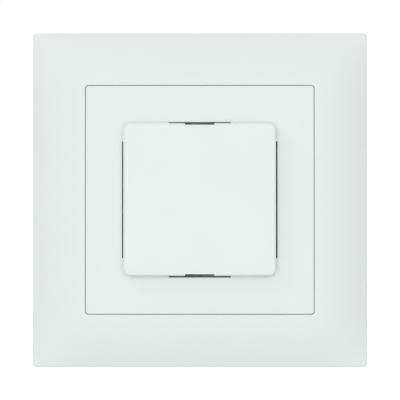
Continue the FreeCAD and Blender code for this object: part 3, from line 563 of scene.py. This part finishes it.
reach = BUTTON_HALF - BUTTON_WALL + BURIED
front = BUTTON_FRONT + BUTTON_FACE - CAP_RIB_IN_FACE
for place in (-STAKE_PLACE, STAKE_PLACE):
    low = place - CAP_RIB_HALF
    high = place + CAP_RIB_HALF
    add_block(builder, (low, front, -reach), (high, CAP_RIB_BACK, reach), RIB_CHAMFER)
    add_block(builder, (-reach, front, low), (reach, CAP_RIB_BACK, high), RIB_CHAMFER)
    for other in (-STAKE_PLACE, STAKE_PLACE):
        add_turned(builder, place, other, POST_PROFILE + HEAD_PROFILE)
cap = new_piece("button_cap_moulding", builder)
smooth_by_angle(cap, CAP_SMOOTH_ANGLE)
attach(cap, "button")
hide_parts("button_cap")
print("button faces:", len(cap.data.polygons))

# %% [markdown]
# ## Coil springs
# Two springs push the button out and a smaller one turns the lever back. Each is round wire whose end turns lie
# closed, so that it stands straight. A curve with a bevel would draw the wire too, but a swept circle keeps its
# seam and its ends in hand. The section is turned by half a step, so that touching turns share no points.
# A spring has one end on a fixed seat.

# %% Draw a coil
WIRE_SIDES = 8
TURN_STEPS = 24
OPEN_TURNS = 4
CLOSED_TURNS = 1


def circle_round(centre, first, second, radius):
    """Points of a small circle in the plane of two directions."""
    points = []
    for side in range(WIRE_SIDES):
        angle = (side + 0.5) / WIRE_SIDES * 2 * math.pi
        points.append(centre + radius * (math.cos(angle) * first + math.sin(angle) * second))
    return points


def draw_coil(place, low, high, radius, wire):
    """A spring along Y from low to high round a place (x, z), in millimetres, its end turns closed."""
    coil_builder = bmesh.new()
    total = OPEN_TURNS + 2 * CLOSED_TURNS
    pitch = (high - low - wire - 2 * CLOSED_TURNS * wire) / OPEN_TURNS
    loops = []
    for step in range(total * TURN_STEPS + 1):
        turned = step / TURN_STEPS
        closed = min(turned, CLOSED_TURNS) + max(0, turned - total + CLOSED_TURNS)
        is_open = CLOSED_TURNS < turned < total - CLOSED_TURNS
        angle = turned * 2 * math.pi
        outward = Vector((math.cos(angle), 0, math.sin(angle)))
        climb = pitch if is_open else wire
        lap = radius * 2 * math.pi
        along = Vector((-math.sin(angle) * lap, climb, math.cos(angle) * lap))
        centre = Vector((place[0], low + wire / 2 + closed * wire + (turned - closed) * pitch, place[1]))
        ring = circle_round(centre + outward * radius, outward, along.normalized().cross(outward), wire / 2)
        loops.append([coil_builder.verts.new(point * MM) for point in ring])
    stack_rings(coil_builder, loops, closed=False)
    coil_builder.faces.new(loops[0])
    coil_builder.faces.new(loops[-1])
    return coil_builder


print("turns of wire in a spring:", OPEN_TURNS + 2 * CLOSED_TURNS)

# %% [markdown]
# ## Springs in place of the drawn ones
# The button travels 2.5 mm, so a return spring of 7 mm keeps 4.5 mm of its length. The lever spring loses a little
# less than the travel.

# %% Three coil springs
def seat_spring(node, place, ends, coil_size):
    """A coil in place of a drawn spring, its high end seated."""
    low, high = ends
    radius, wire = coil_size
    coil = new_piece(node + "_wire", draw_coil(place, low, high, radius, wire))
    coil.data.shade_smooth()
    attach(coil, "insert")
    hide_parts(node)
    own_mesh(coil)
    return coil


RETURN_PLACE = 9.0
RETURN_ENDS = (-7.0, 0.0)
RETURN_COIL = (2.75, 0.5)
LEVER_PLACE = (-8.0, 0.0)
LEVER_ENDS = (11.312, 17.2)
LEVER_COIL = (1.95, 0.4)

springs = []
for node, height in (("return_spring_upper", RETURN_PLACE), ("return_spring_lower", -RETURN_PLACE)):
    place = (0.0, height)
    springs.append(seat_spring(node, place, RETURN_ENDS, RETURN_COIL))
springs.append(seat_spring("lever_spring", LEVER_PLACE, LEVER_ENDS, LEVER_COIL))
print("coil faces:", [len(coil.data.polygons) for coil in springs])

# %% [markdown]
# ## Wire clamps
# A strip of spring steel folded to a V grips each wire. The release key pushes the open leg down, and the V closes.
# The strip is one rectangle swept along its bent middle line, which is flat, then round, then straight to the tip.

# %% Line of a clamp
CLAMP_FRONT = 12.6
CLAMP_FOLD = 4.6
CLAMP_TIP = (10.4, 19.3)
CLAMP_BEND = 0.8
CLAMP_THICK = 0.4
BEND_STEPS = 10


def clamp_line():
    """The middle line (x, y) of the bent strip with its direction at each point, from the flat leg to the tip."""
    slope = math.atan2(CLAMP_TIP[1] - CLAMP_FRONT, CLAMP_TIP[0] - CLAMP_FOLD)
    start = CLAMP_FOLD + CLAMP_BEND / math.tan(slope / 2)
    line = [((CLAMP_TIP[0], CLAMP_FRONT), math.pi)]
    for step in range(BEND_STEPS + 1):
        turned = step / BEND_STEPS * (math.pi - slope)
        x = start - CLAMP_BEND * math.sin(turned)
        y = CLAMP_FRONT + CLAMP_BEND * (1 - math.cos(turned))
        line.append(((x, y), math.pi - turned))
    line.append((CLAMP_TIP, slope))
    return line


print("points along a clamp:", len(clamp_line()))

# %% [markdown]
# ## Four strips in place of the drawn ones
# Each strip is drawn in its own row and on its own side, because a mirrored copy would turn its faces inside out.

# %% Four strip springs
CLAMP_ROWS = (13.0, 17.0)
CLAMP_SMOOTH_ANGLE = 30


def draw_clamp(side_x, side_z):
    """One strip, its section swept along the bent line and mirrored to its side and row."""
    clamp_builder = bmesh.new()
    loops = []
    for (x, y), heading in clamp_line():
        shift_x = -math.sin(heading) * CLAMP_THICK / 2
        shift_y = math.cos(heading) * CLAMP_THICK / 2
        section = []
        for sign, z in ((1, CLAMP_ROWS[0]), (-1, CLAMP_ROWS[0]), (-1, CLAMP_ROWS[1]), (1, CLAMP_ROWS[1])):
            section.append((side_x * (x + sign * shift_x), y + sign * shift_y, side_z * z))
        loops.append([clamp_builder.verts.new(Vector(point) * MM) for point in section])
    stack_rings(clamp_builder, loops, closed=False)
    clamp_builder.faces.new(loops[0])
    clamp_builder.faces.new(loops[-1])
    return clamp_builder


for side_z, row in ((1, "upper"), (-1, "lower")):
    for side_x, side in ((1, "right"), (-1, "left")):
        node = "clamp_spring_" + row + "_" + side
        strip = new_piece(node + "_strip", draw_clamp(side_x, side_z))
        smooth_by_angle(strip, CLAMP_SMOOTH_ANGLE)
        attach(strip, "insert")
        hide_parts(node)
        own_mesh(strip)
        springs.append(strip)
print("springs drawn:", len(springs))

# %% [markdown]
# ## Shared surface effects
# Moulded plastic, rolled sheet and drawn wire have little in common in colour, but they share a few effects: a fine
# grain, soft clouds of slightly different gloss, edges that handling has polished and that carry a painted
# highlight, and streaks from rolling.
# Each effect is one node group that gives only numbers, and every material places it with its own values. That
# way a change to the grain is made once. A painted image could do the same, but it would need unwrapping.

# %% A node group with named sockets
def value_group(name, inputs, outputs):
    """A new shader node group of plain numbers; inputs are pairs of label and default."""
    group = bpy.data.node_groups.new(name, "ShaderNodeTree")
    for label, default in inputs:
        socket = group.interface.new_socket(name=label, in_out="INPUT", socket_type="NodeSocketFloat")
        socket.default_value = default
    for label in outputs:
        group.interface.new_socket(name=label, in_out="OUTPUT", socket_type="NodeSocketFloat")
    source = group.nodes.new("NodeGroupInput")
    result = group.nodes.new("NodeGroupOutput")
    return group, source, result


def add_math(group, operation, first, second):
    """A math node fed by sockets or numbers; gives its output socket."""
    node = group.nodes.new("ShaderNodeMath")
    node.operation = operation
    for slot_index, value in enumerate((first, second)):
        if isinstance(value, (int, float)):
            node.inputs[slot_index].default_value = value
        else:
            group.links.new(value, node.inputs[slot_index])
    return node.outputs[0]


def add_noise(group, vector, scale, detail, roughness):
    """A noise texture whose scale is a number or a socket; gives its grey output."""
    node = group.nodes.new("ShaderNodeTexNoise")
    node.inputs["Detail"].default_value = detail
    node.inputs["Roughness"].default_value = roughness
    group.links.new(vector, node.inputs["Vector"])
    if isinstance(scale, (int, float)):
        node.inputs["Scale"].default_value = scale
    else:
        group.links.new(scale, node.inputs["Scale"])
    return node.outputs["Fac"]


print("helpers for node groups are ready")

# %% [markdown]
# ## Moulded grain
# The mould of a switch plate is lightly spark-eroded, so its plastic has a grain a fraction of a millimetre wide
# and soft clouds where it cooled a little faster. Two noises at two scales give both. They read the object's
# own coordinates, in metres, so a grain size in millimetres is a thousand divided by it.

# %% Group: moulded grain
MM_PER_METRE = 1000


def make_grain_group():
    """Height of the fine grain, and a broad cloud for tone and gloss."""
    inputs = (("Grain Size mm", 0.25), ("Cloud Size mm", 12.0))
    group, source, result = value_group("moulded grain", inputs, ("Height", "Cloud"))
    place = group.nodes.new("ShaderNodeTexCoord").outputs["Object"]
    fine_scale = add_math(group, "DIVIDE", MM_PER_METRE, source.outputs["Grain Size mm"])
    fine = add_noise(group, place, fine_scale, 3, 0.6)
    broad_scale = add_math(group, "DIVIDE", MM_PER_METRE, source.outputs["Cloud Size mm"])
    broad = add_noise(group, place, broad_scale, 2, 0.5)
    group.links.new(fine, result.inputs["Height"])
    group.links.new(broad, result.inputs["Cloud"])
    return group


GRAIN = make_grain_group()
print("group:", GRAIN.name, [item.name for item in GRAIN.interface.items_tree])

# %% [markdown]
# ## Polished edges with a painted highlight
# Fingers and tools reach the edges first and polish them. A Bevel node gives the normal that a rounded edge would
# have, and where that leaves the true normal there is an edge. The mask makes edges glossier, and it also lightens
# their colour as a painted highlight. The mask is broken up with noise, because an even outline looks drawn on. It
# needs no painted image and finds the edges of the drawn pieces as well as of the new ones.

# %% Group: edge mask
EDGE_GAIN = 14


def make_edge_group():
    """A mask that is 1 on an edge and 0 on a flat face; it drives edge polish and a painted highlight."""
    inputs = (("Radius mm", 0.3), ("Strength", 1.0), ("Breakup mm", 1.5))
    group, source, result = value_group("handled edges", inputs, ("Mask",))
    rounding = group.nodes.new("ShaderNodeBevel")
    rounding.samples = 4
    radius = add_math(group, "DIVIDE", source.outputs["Radius mm"], MM_PER_METRE)
    group.links.new(radius, rounding.inputs["Radius"])
    surface = group.nodes.new("ShaderNodeNewGeometry")
    dot = group.nodes.new("ShaderNodeVectorMath")
    dot.operation = "DOT_PRODUCT"
    group.links.new(rounding.outputs["Normal"], dot.inputs[0])
    group.links.new(surface.outputs["Normal"], dot.inputs[1])
    turned = add_math(group, "SUBTRACT", 1, dot.outputs["Value"])
    place = group.nodes.new("ShaderNodeTexCoord").outputs["Object"]
    scale = add_math(group, "DIVIDE", MM_PER_METRE, source.outputs["Breakup mm"])
    broken = add_noise(group, place, scale, 3, 0.65)
    mask = add_math(group, "MULTIPLY", turned, add_math(group, "MULTIPLY", broken, EDGE_GAIN))
    strong = add_math(group, "MULTIPLY", mask, source.outputs["Strength"])
    held = add_math(group, "MINIMUM", strong, 1)
    group.links.new(held, result.inputs["Mask"])
    return group


EDGES = make_edge_group()
print("group:", EDGES.name)

# %% [markdown]
# ## Streaks
# Rolled sheet, turned heads and drawn wire all carry fine parallel lines. Noise that is stretched a hundredfold
# along one direction gives them. The stretch is three numbers, one for each axis of the object, so the same
# group serves a sheet that was rolled along X and a bar that was drawn along Z.

# %% Group: streaks
STAIN_SCALE = 260.0


def make_streak_group():
    """Height of the fine lines, and a stain that ignores their direction."""
    inputs = (("Per mm X", 0.3), ("Per mm Y", 12.0), ("Per mm Z", 12.0))
    group, source, result = value_group("rolled streaks", inputs, ("Height", "Stain"))
    place = group.nodes.new("ShaderNodeTexCoord").outputs["Object"]
    join = group.nodes.new("ShaderNodeCombineXYZ")
    for axis in "XYZ":
        per_metre = add_math(group, "MULTIPLY", source.outputs["Per mm " + axis], MM_PER_METRE)
        group.links.new(per_metre, join.inputs[axis])
    stretched = group.nodes.new("ShaderNodeVectorMath")
    stretched.operation = "MULTIPLY"
    group.links.new(place, stretched.inputs[0])
    group.links.new(join.outputs[0], stretched.inputs[1])
    lines = add_noise(group, stretched.outputs["Vector"], 1.0, 3, 0.6)
    stain = add_noise(group, place, STAIN_SCALE, 4, 0.6)
    group.links.new(lines, result.inputs["Height"])
    group.links.new(stain, result.inputs["Stain"])
    return group


STREAKS = make_streak_group()
print("group:", STREAKS.name)

# %% [markdown]
# ## From number to colour and bump
# A material needs the same three small steps again and again: place a group, blend two colours by a mask, and
# turn a height into a bump. Written once here, they keep each finish below down to the values that make it
# special. The bump height is a real length in millimetres, so it stays right at every zoom.

# %% Small steps for materials
NOISE_LOW = 0.3
NOISE_HIGH = 0.7


def new_finish(name):
    """A material with its node tree and its shader."""
    material = bpy.data.materials.new(name)
    material.use_nodes = True
    tree = material.node_tree
    return material, tree, tree.nodes["Principled BSDF"]


def place_group(tree, group, **values):
    """A group placed in a material with its own values; gives its outputs."""
    node = tree.nodes.new("ShaderNodeGroup")
    node.node_tree = group
    for label, value in values.items():
        node.inputs[label.replace("_", " ")].default_value = value
    return node.outputs


def blend_colours(tree, mask, first, second):
    """The first colour where the mask is 0 and the second where it is 1."""
    node = tree.nodes.new("ShaderNodeMix")
    node.data_type = "RGBA"
    tree.links.new(mask, node.inputs["Factor"])
    for label, colour in (("A", first), ("B", second)):
        socket = [item for item in node.inputs if item.name == label and item.type == "RGBA"][0]
        if isinstance(colour, tuple):
            socket.default_value = (*colour, 1)
        else:
            tree.links.new(colour, socket)
    return [item for item in node.outputs if item.type == "RGBA"][0]


def spread(tree, value, low, high):
    """The usual range of a noise laid out between low and high."""
    node = tree.nodes.new("ShaderNodeMapRange")
    node.inputs["From Min"].default_value = NOISE_LOW
    node.inputs["From Max"].default_value = NOISE_HIGH
    node.inputs["To Min"].default_value = low
    node.inputs["To Max"].default_value = high
    tree.links.new(value, node.inputs["Value"])
    return node.outputs["Result"]


def add_bump(tree, shader, height, millimetres):
    """A height turned into a bump of a real depth."""
    node = tree.nodes.new("ShaderNodeBump")
    node.inputs["Distance"].default_value = millimetres * MM
    node.inputs["Strength"].default_value = 1.0
    tree.links.new(height, node.inputs["Height"])
    tree.links.new(node.outputs["Normal"], shader.inputs["Normal"])


def tinted(colour, factor):
    """The colour made lighter or darker, held below full white."""
    return tuple(min(1, part * factor) for part in colour)


print("small steps for materials are ready")

# %% [markdown]
# ## Moulded plastics
# The cover parts are a satin, slightly cool white thermoplastic. The hidden ones are plainer: a natural carrier, a
# grey cover, a light grey housing, a dark pad and two orange release keys, each with a coarser grain because nobody
# polishes those moulds. One function makes all of them. Edges are a touch smoother than the faces, and a painted
# highlight makes them a touch lighter.

# %% Plastic finishes
CLOUD_TO_GRAIN = 45
CLOUD_TONES = (0.992, 1.008)
CLOUD_GLOSS = 0.03
# painted highlight: edges are lightened in colour by this factor
EDGE_TONE = 1.012
EDGE_GLOSS = 0.1


def plastic(name, colour, roughness, grain=0.25, depth=0.004):
    """A moulded plastic; grain is the width and depth the height of its grain, in millimetres."""
    material, tree, shader = new_finish(name)
    skin = place_group(tree, GRAIN, Grain_Size_mm=grain, Cloud_Size_mm=grain * CLOUD_TO_GRAIN)
    edges = place_group(tree, EDGES, Radius_mm=0.25, Strength=0.8)
    darker, lighter = (tinted(colour, tone) for tone in CLOUD_TONES)
    clouded = blend_colours(tree, skin["Cloud"], darker, lighter)
    # painted highlight: the colour is lightened along edges by the edge mask
    edge_highlit_colour = blend_colours(tree, edges["Mask"], clouded, tinted(colour, EDGE_TONE))
    tree.links.new(edge_highlit_colour, shader.inputs["Base Color"])
    cloudy_gloss = spread(tree, skin["Cloud"], roughness - CLOUD_GLOSS, roughness + CLOUD_GLOSS)
    polish = add_math(tree, "MULTIPLY", edges["Mask"], EDGE_GLOSS)
    tree.links.new(add_math(tree, "SUBTRACT", cloudy_gloss, polish), shader.inputs["Roughness"])
    add_bump(tree, shader, skin["Height"], depth)
    shader.inputs["IOR"].default_value = 1.5
    return material


SATIN_WHITE = (0.807, 0.863, 0.847)
finishes = {
    "frame_plastic": plastic("satin white frame", SATIN_WHITE, 0.42),
    "plate_plastic": plastic("satin white plate", SATIN_WHITE, 0.42),
    "button_plastic": plastic("satin white button", SATIN_WHITE, 0.38),
    "carrier_plastic": plastic("natural carrier plastic", (0.75, 0.77, 0.76), 0.5, 0.4, 0.008),
    "cover_plastic": plastic("grey cover plastic", (0.42, 0.44, 0.46), 0.55, 0.4, 0.01),
    "housing_plastic": plastic("light grey housing plastic", (0.70, 0.71, 0.70), 0.55, 0.4, 0.01),
    "pad_plastic": plastic("dark pad plastic", (0.12, 0.12, 0.13), 0.5, 0.3, 0.008),
    "key_plastic": plastic("orange key plastic", (0.75, 0.25, 0.05), 0.45, 0.35, 0.008),
}
print("plastics:", ", ".join(sorted(finishes)))

# %% [markdown]
# ## Metals
# The support ring is dark zinc-plated sheet, which is what makes the gap round the button look dark, and the claws
# are the same sheet in dull silver, both with rolling streaks and faint cloudy stains from the plating bath. Screws
# and rivets have a finer skin, the terminals are a copper alloy and the contacts silver. Edges, where the sheet was
# cut, are a little glossier than the faces, and a painted highlight makes them lighter. A painted metal would need
# no streaks, but would look dead.

# %% Metal finishes
ROLLED_ALONG_X = (0.3, 12.0, 12.0)
ROLLED_ALONG_Y = (12.0, 0.3, 12.0)
ROLLED_ALONG_Z = (12.0, 12.0, 0.3)
STAIN_GLOSS = 0.06
# painted highlight: metal edges are lightened in colour by this factor
METAL_EDGE_HIGHLIGHT_TONE = 1.15
CUT_EDGE_GLOSS = 0.12


def metal(name, colour, roughness, streaks=ROLLED_ALONG_X, depth=0.002, stain=0.9):
    """A metal; streaks are lines per millimetre along X, Y and Z, and stain is its darkest share."""
    material, tree, shader = new_finish(name)
    shader.inputs["Metallic"].default_value = 1.0
    across, deep, upright = streaks
    lines = place_group(tree, STREAKS, Per_mm_X=across, Per_mm_Y=deep, Per_mm_Z=upright)
    edges = place_group(tree, EDGES, Radius_mm=0.2, Strength=1.0)
    patchy = blend_colours(tree, lines["Stain"], tinted(colour, stain), tinted(colour, 2 - stain))
    # painted highlight: the colour is lightened along edges by the edge mask
    bright = blend_colours(tree, edges["Mask"], patchy, tinted(colour, METAL_EDGE_HIGHLIGHT_TONE))
    tree.links.new(bright, shader.inputs["Base Color"])
    uneven = spread(tree, lines["Stain"], roughness + STAIN_GLOSS, roughness - STAIN_GLOSS)
    polish = add_math(tree, "MULTIPLY", edges["Mask"], CUT_EDGE_GLOSS)
    tree.links.new(add_math(tree, "SUBTRACT", uneven, polish), shader.inputs["Roughness"])
    add_bump(tree, shader, lines["Height"], depth)
    return material


finishes["ring_steel"] = metal("dark zinc-plated ring", (0.27, 0.30, 0.295), 0.38, stain=0.82)
finishes["claw_steel"] = metal("zinc-plated claw", (0.55, 0.55, 0.54), 0.36, ROLLED_ALONG_Y, stain=0.84)
finishes["screw_steel"] = metal("plated screw", (0.62, 0.60, 0.53), 0.26, (9.0, 9.0, 9.0), 0.003)
finishes["rivet_steel"] = metal("bright rivet", (0.34, 0.34, 0.345), 0.32, (9.0, 9.0, 9.0), 0.004)
finishes["spring_steel"] = metal("spring wire", (0.55, 0.55, 0.55), 0.30, (6.0, 6.0, 6.0), 0.001)
finishes["contact_brass"] = metal("copper alloy strip", (0.80, 0.58, 0.34), 0.33, ROLLED_ALONG_Z)
finishes["contact_silver"] = metal("silver contact", (0.85, 0.84, 0.80), 0.32, (7.0, 7.0, 7.0))
print("all finishes:", len(finishes))

# %% [markdown]
# ## Dress every piece
# Each drawn piece came with a plain colour that already has the name of its finish. That name is looked up here,
# so no list of pieces has to be kept twice. The new pieces are given their finish in this cell, one by one.

# %% Give each piece its finish
def dress(piece, finish):
    """The finish in every slot of the piece, or in a first slot of its own."""
    if piece.data.materials:
        for index in range(len(piece.data.materials)):
            piece.data.materials[index] = finishes[finish]
    else:
        piece.data.materials.append(finishes[finish])


def finish_of(piece):
    """The finish whose name is in the plain colour that the piece came with."""
    came_with = piece.data.materials[0].name
    matches = [name for name in finishes if name in came_with]
    return max(matches, key=len)


for name, piece in nodes.items():
    dress(piece, finish_of(piece))
mouldings = ((cover, "frame_plastic"), (plate, "plate_plastic"), (cap, "button_plastic"))
for piece, finish in mouldings:
    dress(piece, finish)
for spring in springs:
    dress(spring, "spring_steel")
print("dressed:", len(nodes) + len(mouldings) + len(springs))

# %% [markdown]
# ## Floor
# The floor is a large pale sheet a little below the switch, and it keeps the switch's soft shadow. A weak glow that
# only the camera and mirrors see lifts it to the white of the surroundings. The sheet is left out of the rays that
# carry light, so the low softbox can shine through it and no grey light comes up from below. Making the colour
# itself pure white would be simpler, but then the floor would light the lower edges and the shadow would fade.

# %% Floor
FLOOR_LEVEL = -60.0
FLOOR_HALF = 1500.0
FLOOR_COLOUR = (0.96, 0.96, 0.96)
FLOOR_ROUGHNESS = 0.9
FLOOR_LIFT = 0.34


def seen_directly(tree):
    """1 for rays from the camera, a mirror or glass, and 0 for rays that carry light."""
    rays = tree.nodes.new("ShaderNodeLightPath").outputs
    seen = add_math(tree, "MAXIMUM", rays["Is Camera Ray"], rays["Is Glossy Ray"])
    return add_math(tree, "MAXIMUM", seen, rays["Is Transmission Ray"])


builder = bmesh.new()
corners = [(-1, -1), (1, -1), (1, 1), (-1, 1)]
level = FLOOR_LEVEL * MM
reach = FLOOR_HALF * MM
builder.faces.new([builder.verts.new((reach * x, reach * y, level)) for x, y in corners])
floor_mesh = bpy.data.meshes.new("pale_floor")
builder.to_mesh(floor_mesh)
builder.free()
floor = bpy.data.objects.new("pale_floor", floor_mesh)
bpy.context.scene.collection.objects.link(floor)
material, tree, shader = new_finish("pale floor")
shader.inputs["Base Color"].default_value = (*FLOOR_COLOUR, 1)
shader.inputs["Roughness"].default_value = FLOOR_ROUGHNESS
shader.inputs["Emission Color"].default_value = (1, 1, 1, 1)
lift = add_math(tree, "MULTIPLY", seen_directly(tree), FLOOR_LIFT)
tree.links.new(lift, shader.inputs["Emission Strength"])
floor.data.materials.append(material)
floor.visible_diffuse = False
floor.visible_shadow = False
print("floor level:", FLOOR_LEVEL, "mm")

# %% [markdown]
# ## White surroundings
# The surroundings look plain white to the camera and in reflections, while their light on the object is turned
# down, so the white plastic keeps its tones. The Light Path node tells the two kinds of ray apart. A white card
# behind the object would also give a white picture, but it would block the view from the back.

# %% White surroundings
AMBIENT = 0.632

world = bpy.data.worlds.new("white room")
bpy.context.scene.world = world
world.use_nodes = True
tree = world.node_tree
background = tree.nodes["Background"]
colour = blend_colours(tree, seen_directly(tree), (AMBIENT, AMBIENT, AMBIENT), (1.0, 1.0, 1.0))
tree.links.new(colour, background.inputs["Color"])
background.inputs["Strength"].default_value = 1.0
print("ambient level:", AMBIENT)

# %% [markdown]
# ## Soft light
# Four square softboxes light the switch. The front one carries most of the light. The key, high on the left, gives
# the crowned plastic its slow fall of tone and the button its short shadow to the right. The top one brightens the
# upper edges and the low one keeps the lower edges from going grey. Big lamps are soft; small ones would draw hard
# shadows in the gap. Each power was found by rendering that lamp alone and adding the pictures up in shares.

# %% Softboxes
def softbox(name, place, width, power):
    """A square area lamp at a place in metres, turned towards the switch."""
    lamp = bpy.data.lights.new(name, "AREA")
    lamp.shape = "SQUARE"
    lamp.size = width
    lamp.energy = power
    lamp_object = bpy.data.objects.new(name, lamp)
    lamp_object.location = place
    lamp_object.rotation_euler = (-Vector(place)).to_track_quat("-Z", "Y").to_euler()
    bpy.context.scene.collection.objects.link(lamp_object)


SOFTBOXES = (
    ("front softbox", (0.0, -2.2, 0.0), 1.2, 12.8),
    ("key softbox", (-0.9, -0.9, 0.8), 0.7, 1.75),
    ("top softbox", (0.0, -0.25, 1.2), 0.7, 0.87),
    ("low softbox", (0.0, -0.2, -1.2), 0.6, 0.7),
)
for name, place, width, power in SOFTBOXES:
    softbox(name, place, width, power)
    print(name, "power", power)

# %% [markdown]
# ## Camera
# A long lens from about a metre keeps the square nearly free of perspective. It stands a little to the right and a
# little below the middle, which hides a hair of the left gap and shows a hair more of the lower one.

# %% Camera
AZIMUTH = 0.45
ELEVATION = -1.0
DISTANCE = 1.1
LENS = 407.5
SENSOR = 36.0
TARGET = Vector((0.00002, -0.004, 0.00004))

turn = math.radians(AZIMUTH)
rise = math.radians(ELEVATION)
away = Vector((math.sin(turn) * math.cos(rise), -math.cos(turn) * math.cos(rise), math.sin(rise)))
lens = bpy.data.cameras.new("long lens")
lens.lens = LENS
lens.sensor_width = SENSOR
camera = bpy.data.objects.new("long lens", lens)
camera.location = TARGET + away * DISTANCE
camera.rotation_euler = (-away).to_track_quat("-Z", "Y").to_euler()
bpy.context.scene.collection.objects.link(camera)
bpy.context.scene.camera = camera
bpy.context.scene.view_settings.view_transform = "Standard"
print("camera at", [round(part, 3) for part in camera.location])
